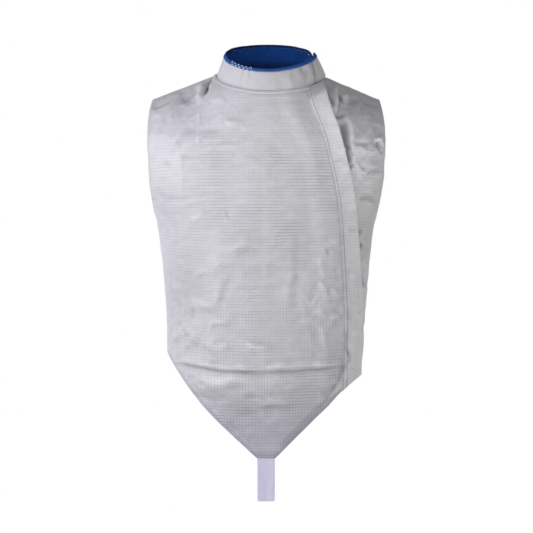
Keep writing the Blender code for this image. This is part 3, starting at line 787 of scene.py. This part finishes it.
# copies of the cloth that differ in painted brightness: the under panel, placket strip and neck tape painted
# lighter, the collar a shade darker
panelCloth = metalClothMaterial("wovenMetalCloth", (0.0012, 0.0048), ink=0.3)
underCloth = metalClothMaterial("wovenMetalClothUnder", (0.0042,), shown=0.4, paintedBrightness=1.04)
stripCloth = metalClothMaterial("wovenMetalClothPlacket", (0.0012, 0.0054), 0.0006, 0.5, 1.07, 0.3)
tapeCloth = metalClothMaterial("wovenMetalClothTape", (0.0066,), 0.0007, 0.6, 1.10, 0.2)
collarSeams = (cloth["collarSeam"], cloth["collarSeam"] + cloth["seamInset"])
collarCloth = metalClothMaterial("wovenMetalClothCollar", collarSeams, 0.0016, 0.55, 0.98, 1.7)
liningCloth = cottonMaterial("dyedCottonLining", cotton["colour"], cotton["dark"], deep=0.0115)
bindingCloth = cottonMaterial("dyedCottonBinding", cotton["binding"], cotton["bindingDark"], fold=0.0078)
webbing = elasticMaterial("elasticWebbing")
greyThread = threadMaterial("greyPolyesterThread", "#aaaab0", 0.5)
blueThread = threadMaterial("paleBluePolyesterThread", "#e2ecfa", 0.5)
print("materials ready")


# panels

weaveStep = 0.0027  # grid of the front, fine enough for its creases
seamEdge = -0.0012  # panels run this share of their half past the side seam, so that it is closed


def panelLevels(step, count):  # rows from the neck edge to the waist row, then shares of the way to the hem
    upper = np.linspace(-cloth["gap"], cloth["waistRow"], int(round(-cloth["waistRow"] / step)) + 1)
    return np.array((np.append(upper, np.full(count, cloth["waistRow"])),
                     np.append(np.zeros(len(upper)), np.linspace(0.0, 1.0, count + 1)[1:])))


def flapShares(h):  # shares across at the placket's inner edge and at the free edge
    return shareOf(placketShares, h), shareOf(freeShares, h)


def frontShare(q, level, down, neckGap=0.0):
    above = np.maximum(1.0 - level / form["armLine"], 0.0)
    inner, free = flapShares(mix(level, cloth["flapCorner"], down) + neckDrop * above)
    t = np.where(q <= 1.0, mix(seamEdge - 1.0, inner, q), mix(inner, free, q - 1.0))
    h = level + neckline(t, neckGap) * above
    return t, mix(h, frontHem(t, free), down)


# how the front is held, each by its level and the height it takes to come in
held = {
    "collar": (-0.004, 0.030), "shoulder": (-0.001, 0.010), "flat": 0.35,  # flat along its seams
    "corner": (-0.006, 0.030), "stand": (-0.14, 0.08), "overlap": 0.55,  # springing out at the closing edge
    "forward": (-0.43, 0.04),  # the V goes straight forward: a straight hem
}


def below(h, key):  # 0 above that level, 1 once it has come in
    level, height = held[key]
    return smooth((level - h) / height)


def onFront(t, h, lift):  # a point of the front, with its relief, moved out by lift
    base, normal = formPoint(t, h, front), formNormal(t, h, front)
    calm = mix(below(h, "collar"), below(h, "shoulder"), smooth((np.abs(t) - form["neckShare"]) / 0.03))
    inner, free = flapShares(h)
    over = np.clip((t - inner) / (free - inner), 0.0, 1.0)
    level, height = held["stand"]
    stand = over ** 1.25 * mix(cloth["stand"], cloth["standTop"], smooth((h - level) / height))
    stand *= below(h, "corner")
    out = relief(base, front) * mix(held["flat"], 1.0, calm)
    out = out * mix(1.0, held["overlap"], smooth(over * 4.0)) + stand
    low = below(base[:, 2], "forward")[:, None]
    way = mix(normal, np.array((0.0, -1.0, 0.0)), low)
    return tucked(base + normal * lift[:, None] + way * out[:, None]), out


def frontPlace(q, level, down):
    t, h = frontShare(q, level, down)
    points, out = onFront(t, h, flapLift(t, h))
    over = faced(points)
    points[:, 1] -= facing["rise"] * over
    # painted shade in pinched lines, and patches of painted shade and painted highlight
    dark = pinched(points, frontPinches) + paintedTone(points, frontPaintedTones)
    # painted highlight on the cloth over the facing
    return points, weaveAt(t, h, front), out + facing["paintedShine"] * over, dark


neckColumn = (1.0 - form["neckShare"]) / (1.0 + shareOf(placketShares, neckDrop))
lowWidth = 1.0 + shareOf(placketShares, cloth["flapCorner"])
frontColumns = steps((0.0, 0), (neckColumn, 44), ((1.0 - tipShare) / lowWidth, 64),
                     ((1.0 + tipShare) / lowWidth, 12), (1.0, 58), (2.0, 11))
frontPanel = layCloth("frontPanelCloth", frontColumns, panelLevels(weaveStep, 86), frontPlace, cloth["wall"],
                      panelCloth, edge=-1, paintedShadingStrength=0.35)

placket = {
    "from": 1.004, "to": 1.985,  # its two edges, counted from 1 to 2 over the flap's overlap
    "ease": 0.35,  # share of the clearance below it
    # painted shade under the collar and along a slanting tuck line, painted highlight between
    "drawn": -0.036, "tuck": -0.083, "slant": 0.012, "tuckHalf": 0.003, "paintedShadingStrength": 0.010,
    "highlightLow": -0.115, "highlightHigh": -0.030, "paintedHighlight": 0.009,
    "uv": (0.0013, 0.0021),
}


def placketPlace(q, level, down):
    t, h = frontShare(q, level, down, cloth["stripStart"])
    ease = cloth["stripEase"] * smooth(1.0 + h / cloth["stripEaseDepth"])
    points, out = onFront(t, h, flapLift(t, h) + cloth["wall"] + cloth["clear"] * placket["ease"] + ease)
    across = q - 1.0
    off = (h - placket["tuck"] + placket["slant"] * across) / placket["tuckHalf"]
    # painted shade under the collar and along the tuck line, painted highlight below the collar
    drawn = smooth((h - placket["drawn"]) / 0.010) + 0.7 * np.exp(-off ** 2)
    full = smooth((h - placket["highlightLow"]) / 0.03) * smooth((placket["highlightHigh"] - h) / 0.010)
    full = full * (1.0 - 0.5 * across)
    shade = out - placket["paintedShadingStrength"] * drawn + placket["paintedHighlight"] * full
    return points, weaveAt(t, h, front) + placket["uv"], shade, pinched(points, placketPinches)


placketStrip = layCloth("placketStripCloth", steps((placket["from"], 0), (placket["to"], 13)),
                        panelLevels(weaveStep, 66), placketPlace, cloth["tape"], stripCloth, paintedShadingStrength=0.5,
                        edge=lambda q, level: (q - placket["from"]) * cloth["placketWidth"])


def neckStripPlace(q, distance):
    level = np.full(len(q), -cloth["gap"])
    above = 1.0 - level / form["armLine"]
    t = mix(seamEdge - 1.0, flapShares(level + neckDrop * above)[0], q)
    h = level + neckline(t, distance) * above
    share = (distance - cloth["stripStart"]) / cloth["stripWidth"]
    bow = cloth["stripBow"] * 4.0 * share * (1.0 - share)
    points, _ = onFront(t, h, flapLift(t, h) + cloth["wall"] + cloth["clear"] * placket["ease"] + bow)
    return points, weaveAt(t, h, front) + (0.002, 0.001)


stripRows = np.linspace(cloth["stripStart"], cloth["stripStart"] + cloth["stripWidth"], 5)
neckStrip = layCloth("neckStripCloth", steps((neckColumn, 0), (1.012, 96)), stripRows, neckStripPlace,
                     cloth["tape"], tapeCloth, edge=0)


# painted shade where the left panel turns away from the lights: axis, how deep it then counts, from, over
paintedTurnShade = ((2, 0.008, -0.068, 0.03), (0, 0.009, 0.160, 0.02))


def leftPlace(q, level, down):
    h = mix(level, cloth["leftHemFront"], down)
    inner, free = shareOf(underlapShares, h), shareOf(freeShares, h)
    t = mix(inner, 1.0 - seamEdge, q)
    h = mix(level, mix(cloth["leftHemFront"], cloth["leftHem"], smooth((t - free) / (1.0 - free))), down)
    base, normal = formPoint(t, h, front), formNormal(t, h, front)
    edgeX = curveThrough(-base[:, 2], -flapEdge[:, 0], flapEdge[:, 1])
    shown = smooth((base[:, 0] - edgeX) / 0.006 + 0.5)
    calm = mix(0.3, 1.0, smooth(-h / 0.03)) * smooth((1.0 - t) / 0.05 + 0.3)
    out = relief(base, front) * mix(0.6, 1.0, shown) + creaseRelief(base, leftCreases) * shown * calm
    out = np.minimum(out, mix(0.0006, 0.01, shown))
    # painted shade on the shoulder top and towards the side
    turnShade = sum(deep * smooth((base[:, axis] - start) / over) for axis, deep, start, over in paintedTurnShade)
    # painted shade in pinched lines, and patches of painted shade and painted highlight
    dark = pinched(base, leftPinches) + paintedTone(base, leftPaintedTones)
    return base + normal * out[:, None], weaveAt(t, h, front) + (0.0008, 0.0015), out - turnShade, dark


leftStart = shareOf(underlapShares, -cloth["gap"])
leftColumns = steps((0.0, 0), ((form["neckShare"] - leftStart) / (1.0 - leftStart), 36), (1.0, 52))
leftPanel = layCloth("leftPanelCloth", leftColumns, panelLevels(0.0020, 12), leftPlace, cloth["wall"],
                     underCloth, edge=-1, paintedShadingStrength=0.45)


def backPlace(t, level, down):
    h = mix(level, mix(cloth["backHemRight"], cloth["leftHem"], 0.5 * (t + 1.0)), down)
    base, normal = formPoint(t, h, back), formNormal(t, h, back)
    out = relief(base, back) * mix(0.3, 1.0, smooth(-h / 0.03))
    return base + normal * out[:, None], weaveAt(t, h, back), out


backColumns = steps((1.0 - seamEdge, 0), (form["neckShare"], 26), (-form["neckShare"], 104),
                    (seamEdge - 1.0, 26))
backPanel = layCloth("backPanelCloth", backColumns, panelLevels(0.0034, 14), backPlace, cloth["wall"],
                     panelCloth, edge=-1, paintedShadingStrength=0.35)
print("panels ready")


# collar

collar = {
    "height": 0.040, "binding": 0.0060, "lift": 0.0005, "endLift": 0.0013,
    "unevenness": 0.0008, "bow": 0.0009,  # stiffened cloth bows out between seam and rim
    "radius": 0.076, "seamRadius": 0.085,  # its radius for the weave, and for distances from the seam
    "seamFoot": 57.0, "seamRim": 67.0,  # the placket's seam runs on up it, degrees from the front
    # rubbed ripples where the flap's corner pulls: middle and reach in degrees, their height, and the painted
    # shade and highlight that follow them
    "worn": (52.0, 13.0), "wornHeight": 0.0004, "paintedRippleShade": 0.0035,
    "paintedFootShade": 0.007,  # painted shade where the flap's corner goes under it
}


def collarPoint(angle, share):
    t = form["neckShare"] * np.clip(angle, 0.001, None) / form["seamAngle"]
    h = neckline(t)
    drawn = formPoint(t, h, front) + formNormal(t, h, front) * flapLift(t, h)[:, None]
    foot = np.where((angle > 0.0)[:, None], drawn, ovalPoint(form["foot"], angle))
    foot[:, 2] += collar["lift"] + collar["endLift"] * smooth((angle - 44.0) / 12.0)
    rim = ovalPoint(form["rim"], angle, form["rimSpread"] * smooth(angle / form["collarEnd"]))
    return mix(foot, rim, share[:, None])


def collarFacing(angle, share):
    along = collarPoint(np.minimum(angle + 1.0, form["collarEnd"]), share) - collarPoint(angle - 1.0, share)
    up = collarPoint(angle, np.ones(len(angle))) - collarPoint(angle, np.zeros(len(angle)))
    return unit(np.cross(along, up))


# soft upright dents: degrees round the collar, depth in metres, reach in degrees
collarDents = ((-33.0, 0.0005, 2.4), (-24.0, 0.0004, 3.0), (30.0, 0.0005, 3.0), (44.0, 0.0006, 2.4),
               (-78.0, 0.0010, 4.0), (-232.0, 0.0012, 5.0), (-150.0, 0.0012, 6.0), (-112.0, 0.0008, 4.0))


def onCollar(angle, share, offset):
    uneven = collar["unevenness"] * softWaves(ovalPoint(form["rim"], angle), 0.055, 23) * (0.5 + 0.5 * share)
    bow = collar["bow"] * 4.0 * share * (1.0 - share)
    for at, deep, reach in collarDents:
        bow = bow - deep * share * np.exp(-((angle - at) / reach) ** 2)
    return collarPoint(angle, share) + collarFacing(angle, share) * (offset + uneven + bow)[:, None]


def collarUv(angle, high):  # distance round the collar and up it
    return np.stack((np.radians(angle) * collar["radius"], high), axis=1)


def collarOuterPlace(angle, share):
    foot = smooth(1.0 - share / 0.12) * smooth((angle - 36.0) / 10.0)
    around = onCollar(angle, share, np.zeros(len(angle)))
    middle, reach = collar["worn"]
    worn = softWaves(around, 0.013, 61, (1.0, 1.0, 0.6)) * np.exp(-((angle - middle) / reach) ** 2)
    points = around + collarFacing(angle, share) * (collar["wornHeight"] * worn)[:, None]
    # painted shade and highlight along the ripples, and painted shade at the foot where the flap's corner
    # goes under
    shade = collar["paintedRippleShade"] * worn - collar["paintedFootShade"] * foot
    return points, collarUv(angle, share * collar["height"]), shade


def collarLiningPlace(angle, share):
    share = np.where(share < 0.0, share * smooth((44.0 - angle) / 6.0), share)
    offset = np.full(len(angle), -cloth["gap"] - cloth["tape"])
    return onCollar(angle, share, offset), collarUv(angle, share * collar["height"])


def collarSeam(angle, share):  # distance from the placket's seam
    seam = mix(collar["seamFoot"], collar["seamRim"], share)
    return np.clip(cloth["collarSeam"] + np.radians(angle - seam) * collar["seamRadius"], 0.045, 0.075)


wrap = np.linspace(form["underEnd"] - 360.0, form["collarEnd"], 190)
collarRows = np.linspace(1.0 - collar["binding"] / collar["height"] * 0.8, 0.0, 14)
collarOuter = layCloth("collarOuterCloth", wrap, collarRows, collarOuterPlace, cloth["wall"], collarCloth,
                       edge=collarSeam, paintedShadingStrength=0.8)
liningRows = np.append(collarRows, (-0.045, -0.090))  # its foot is turned in
collarLining = layCloth("collarLiningCloth", wrap, liningRows, collarLiningPlace, cloth["tape"], liningCloth)

# the binding is folded over the rim: offset outwards and depth below the rim, millimetres
bindingFold = np.array((
    (2.05, 6.9), (2.30, 6.0), (2.40, 4.2), (2.30, 2.6), (2.0, 1.4), (1.35, 0.5), (0.5, 0.05), (-0.4, 0.05),
    (-1.1, 0.4), (-1.6, 0.9), (-1.8, 1.5), (-1.8, 2.0), (-1.75, 2.4), (-1.6, 2.8),
))


def bindingPlace(angle, row):
    k = row.astype(int)
    closed = mix(0.35, 1.0, smooth((form["collarEnd"] - angle) / 1.6))  # folded shut at its ends
    closed *= mix(0.35, 1.0, smooth((angle - wrap[0]) / 1.6))
    share = 1.0 - bindingFold[k, 1] / 1000.0 / collar["height"]
    points = onCollar(angle, share, bindingFold[k, 0] / 1000.0 * closed)
    return points, collarUv(angle, runAlong(bindingFold)[k] / 1000.0)


foldRows = np.arange(len(bindingFold) - 1.0, -1.0, -1.0)
collarBinding = layCloth("collarBindingCloth", wrap, foldRows, bindingPlace, 0.0, bindingCloth)
print("collar ready")


# strap end

tab = {"width": 0.0280, "bottom": -0.6880, "tuck": 0.012, "wall": 0.0016, "corner": 0.0030,
       "sway": 0.0012, "swayLength": 0.070, "cup": 0.0005}  # it hangs in a slight wave, cupped across


def tabPlace(q, z):
    t = q * tipShare * tab["width"] / (2.0 * cloth["tipHalf"])
    h = np.maximum(z, cloth["tip"])
    point = formPoint(t, h, front) + formNormal(t, h, front) * (-2.0 * cloth["gap"] - tab["wall"])
    near = np.clip((tab["bottom"] + tab["corner"] - z) / tab["corner"], 0.0, 1.0)
    point[:, 0] = q * (tab["width"] / 2.0 - tab["corner"] * (1.0 - np.sqrt(1.0 - near * near * 0.9)))
    hang = np.maximum(cloth["tip"] - z, 0.0)
    sway = tab["sway"] * np.sin(hang / tab["swayLength"] * math.pi)
    point[:, 1] += sway + tab["cup"] * np.cos(q * 2.2) - tab["cup"]
    point[:, 2] = z
    return tucked(point), np.stack((q * tab["width"] / 2.0, z), axis=1)


tabRows = np.linspace(cloth["tip"] + tab["tuck"], tab["bottom"], 46)
crotchTab = layCloth("crotchTabWebbing", np.linspace(-1.0, 1.0, 15), tabRows, tabPlace, tab["wall"], webbing)


# stitching: a run of short thread beads along each path

sewing = {
    "Stitch length": 0.0024, "Gap": 0.0008, "Thread radius": 0.00024,
    "proud": 0.00012,  # how far threads stand off their cloth
    "placket": (0.0012, 0.0054), "placketSpan": 0.02747,  # its rows from the inner edge, and its whole width
    "zigzag": (-55.0, -20.0, 1.05),  # degrees round the collar: from, to, step
    "zigzagRows": (7.8, 9.4, 11.0, 12.6, 11.0, 9.4), "tack": -255.0,
    # pale threads on the blue cloth: length, gap and radius
    "pale": (0.0016, 0.0022, 0.00040), "thick": (0.0019, 0.0017, 0.00085), "thickProud": 0.0003,
}


def stitchTree():
    tree = bpy.data.node_groups.new("stitchRun", "GeometryNodeTree")
    for name, kind, way in (("Paths", "Geometry", "INPUT"), ("Stitch length", "Float", "INPUT"),
                            ("Gap", "Float", "INPUT"), ("Thread radius", "Float", "INPUT"),
                            ("Thread", "Material", "INPUT"), ("Stitches", "Geometry", "OUTPUT")):
        tree.interface.new_socket(name, in_out=way, socket_type="NodeSocket" + kind)
    add = partial(addNode, tree)
    given = add("NodeGroupInput").outputs
    length, radius = given["Stitch length"], given["Thread radius"]
    pitch = add("Math", length, given["Gap"], operation="ADD")
    runs = add("GeometryNodeMeshToCurve", {"Mesh": given["Paths"]})
    spaced = add("GeometryNodeResampleCurve", {"Curve": runs, "Length": pitch}, mode="LENGTH")
    bead = add("GeometryNodeMeshUVSphere", {"Segments": 6, "Rings": 4, "Radius": 1.0})
    half = add("Math", length, 0.5, operation="MULTIPLY")
    size = add("CombineXYZ", half, radius, radius)
    bead = add("GeometryNodeTransform", {"Geometry": bead, "Scale": size})
    tangent = add("GeometryNodeInputTangent")
    turn = add("FunctionNodeAlignRotationToVector", {"Vector": tangent}, axis="X")
    uneven = add("FunctionNodeRandomValue", {2: 0.88, 3: 1.10, "Seed": 7}, data_type="FLOAT")
    beads = add("GeometryNodeInstanceOnPoints", {"Points": spaced, "Instance": bead, "Rotation": turn,
                    "Scale": uneven})
    solid = add("GeometryNodeRealizeInstances", {"Geometry": beads})
    coloured = add("GeometryNodeSetMaterial", {"Geometry": solid, "Material": given["Thread"]})
    add("NodeGroupOutput", {"Stitches": coloured})
    return tree


stitchRun = stitchTree()


def sewn(name, paths, material, *sizes):  # bakes the stitches of these paths to a mesh
    points = np.concatenate(paths)
    ends = np.cumsum([len(path) for path in paths]) - 1
    edges = [(i, i + 1) for i in range(len(points) - 1) if i not in ends]
    guide = meshPiece(name + "Guide", points.tolist(), edges, [])
    run = guide.modifiers.new("Stitches", "NODES")
    run.node_group = stitchRun
    given = {**sewing, **dict(zip(("Stitch length", "Gap", "Thread radius"), sizes)), "Thread": material}
    for item in stitchRun.interface.items_tree:
        if item.in_out == "INPUT" and item.name in given:
            run[item.identifier] = given[item.name]
    solid = bpy.data.meshes.new_from_object(guide.evaluated_get(bpy.context.evaluated_depsgraph_get()))
    solid.name = name
    bpy.data.objects.remove(guide)
    solid.shade_smooth()
    print("%s: %d faces" % (name, len(solid.polygons)))
    return placed(name, solid)


# path on a piece's outer face at fractional rows and columns
def along(laid, rows, columns, proud=sewing["proud"]):
    grid = laid["grid"]
    rows, columns = np.broadcast_arrays(np.asarray(rows, float), np.asarray(columns, float))
    i = np.clip(rows.astype(int), 0, grid.shape[0] - 2)
    j = np.clip(columns.astype(int), 0, grid.shape[1] - 2)
    point, normal = [between(field, i, j, (rows - i)[:, None], (columns - j)[:, None])
                     for field in (grid, laid["normals"])]
    return point + unit(normal) * (laid["wall"] + proud)


def insetFromBottom(laid, first=0, short=0):  # leaves out the first and the last few columns
    grid = laid["grid"]
    last = grid.shape[0] - 1
    columns = np.arange(first, grid.shape[1] - short)
    depth = min(40, last)
    off = nearest(grid[-depth:, columns].reshape(-1, 3), grid[-1]).reshape(depth, len(columns))
    rows = [last - np.interp(cloth["seamInset"], np.maximum.accumulate(column), np.arange(depth))
            for column in off[::-1].T]
    return along(laid, rows, columns)


def insetFromSide(laid, last):  # from the shoulder down to the arm's lowest point
    grid = laid["grid"]
    edgeColumn, way = (grid.shape[1] - 1, -1) if last else (0, 1)
    rows = np.arange(1, int(np.argmin(np.abs(grid[:, edgeColumn, 2] - form["underarm"]))))
    columns = [edgeColumn + way * np.interp(cloth["seamInset"], runAlong(grid[r, ::way][:12]), np.arange(12))
               for r in rows]
    return along(laid, rows, columns)


def collarColumn(angle):
    return (angle - wrap[0]) / (wrap[1] - wrap[0])


silverPaths = [insetFromBottom(frontPanel, 1, 11), insetFromBottom(leftPanel, 20), insetFromBottom(backPanel)]
silverPaths += [insetFromSide(laid, last) for laid, last in
                ((frontPanel, False), (leftPanel, True), (backPanel, False), (backPanel, True))]
placketRows, placketColumns = placketStrip["grid"].shape[:2]
silverPaths += [along(placketStrip, np.arange(placketRows), at / sewing["placketSpan"] * (placketColumns - 1))
                for at in sewing["placket"]]
silverPaths += [along(neckStrip, 3.3, np.arange(neckStrip["grid"].shape[1])),
                along(collarOuter, 12.0, np.arange(len(wrap)))]
endRows = np.arange(1, 13)
for aside in (0.0, cloth["seamInset"]):
    angle = mix(collar["seamFoot"], collar["seamRim"], collarRows[endRows])
    angle = angle + math.degrees(aside / collar["seamRadius"])
    silverPaths.append(along(collarOuter, endRows, collarColumn(angle)))
silverPaths.append(along(collarOuter, endRows, len(wrap) - 3.0))
silverStitches = sewn("silverStitches", silverPaths, greyThread)
bindingPath = along(collarBinding, 12.0, np.arange(len(wrap)), sewing["thickProud"])
bindingStitches = sewn("bindingStitches", [bindingPath], blueThread, *sewing["pale"])

# a patch of zigzag where the binding's ends are joined, and a small bar tack inside
zigzag = np.arange(*sewing["zigzag"])
zigzagRows = np.resize(sewing["zigzagRows"], len(zigzag))
zigzagPath = along(collarBinding, zigzagRows, collarColumn(zigzag), sewing["thickProud"])
tackColumn = collarColumn(sewing["tack"])
tackPath = along(collarLining, np.linspace(0.4, 3.4, 6), tackColumn, -cloth["tape"] - sewing["thickProud"])
zigzagStitches = sewn("zigzagStitches", [zigzagPath, tackPath], blueThread, *sewing["thick"])
print("stitching ready")


# riding and replacing: node, slot, cut size (width, length), area where the cut is no rectangle

body = list(frame["bodies"])[0]
for laid, node, slot, size, area in (
        (frontPanel, "front_panel", "conductive_cloth", (0.500, 0.640), 0.232),
        (leftPanel, "left_panel", "conductive_cloth", (0.190, 0.430), 0.064),
        (backPanel, "back_panel", "conductive_cloth", (0.505, 0.460), 0.192),
        (placketStrip, "placket_strip", "conductive_cloth", (0.028, 0.540), None),
        (neckStrip, "neck_strip", "conductive_cloth", (0.210, 0.010), 0.0017),
        (collarOuter, "collar_outer", "conductive_cloth", (0.540, 0.034), None),
        (collarLining, "collar_lining", "blue_cotton", (0.530, 0.034), None),
        (collarBinding, "collar_binding", "blue_cotton", (0.500, 0.016), None),
        (crotchTab, "crotch_tab", "white_elastic", (0.028, 0.082), None)):
    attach(laid["piece"], body)
    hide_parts(node)
for piece, slot in ((silverStitches, "conductive_cloth"), (bindingStitches, "blue_cotton"),
                    (zigzagStitches, "blue_cotton")):
    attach(piece, body)


# studio

studio = {
    "left": 2.4, "high": 8.9, "front": 5.9, "tint": "#e9e2ff", "aim": (0.0, 0.0, -0.25),
    "floor": -1.45, "paint": "#f4f4f4", "glow": 0.9, "glowShare": 0.65,
    "air": 1.06, "brightest": 1.35, "ceiling": 0.04, "upwards": (0.24, 0.0, 1.0), "fade": (-0.28, 0.80),
    "camera": (0.0008, -3.0, -0.309), "lens": 122.8, "sensor": 36.0,
}

for name, place, size, power, tint in (
        ("leftSoftbox", (-0.88, -0.88, -0.25), 0.8, studio["left"], studio["tint"]),
        ("highSoftbox", (-1.25, -0.62, 1.45), 1.1, studio["high"], studio["tint"]),
        ("frontSoftbox", (0.48, -1.80, 0.92), 1.1, studio["front"], "#ffffff")):
    lamp = bpy.data.lights.new(name, "AREA")
    lamp.shape, lamp.size, lamp.energy, lamp.color = "DISK", size, power, linear(tint)[:3]
    light = placed(name, lamp)
    light.location = place
    x, y, z = np.array(studio["aim"]) - np.array(place)
    light.rotation_euler = (math.atan2(math.hypot(x, y), -z), 0.0, math.atan2(y, x) - math.pi / 2)

# matt paint, seen pale without lighting the cloth from below
paint, add = newMaterial("mattWhitePaint")
grain = add("TexNoise", {"Vector": add("TexCoord").outputs["Object"], "Scale": 40.0, "Detail": 2.0})
surface = finish(add, studio["paint"], 0.9, grain, 0.1, 0.001).inputs["Surface"]
glow = add("Emission", {"Color": "#ffffff", "Strength": studio["glow"]})
glowing = add("Math", add("LightPath"), studio["glowShare"], operation="MULTIPLY")
pale = add("MixShader", glowing, surface.links[0].from_socket, glow)
paint.node_tree.links.new(pale.outputs[0], surface)
corners = [(x, y, studio["floor"]) for x, y in ((-3, -3), (3, -3), (3, 3), (-3, 3))]
meshPiece("studioFloor", corners, [], [(0, 1, 2, 3)], paint)

# what lights the cloth is bright at eye level and on the left, and dark overhead; the camera sees white
world = bpy.data.worlds.new("studioAir")
bpy.context.scene.world = world
world.use_nodes = True
world.node_tree.nodes.clear()
add = partial(addNode, world.node_tree)
around = add("TexCoord").outputs["Generated"]
way = add("VectorMath", around, studio["upwards"], operation="DOT_PRODUCT")
fade = add("MapRange", way, *studio["fade"], studio["brightest"] * studio["air"], studio["ceiling"])
lit = add("Background", {"Color": "#ffffff", "Strength": fade})
seen = add("Background", {"Color": "#ffffff", "Strength": 1.0})
add("OutputWorld", add("MixShader", add("LightPath"), lit, seen))
bpy.context.scene.view_settings.view_transform = "Standard"

lens = bpy.data.cameras.new("studioCamera")
lens.lens, lens.sensor_width = studio["lens"], studio["sensor"]
camera = placed("studioCamera", lens)
camera.location, camera.rotation_euler = studio["camera"], (math.pi / 2, 0.0, 0.0)
bpy.context.scene.camera = camera
print("studio ready")
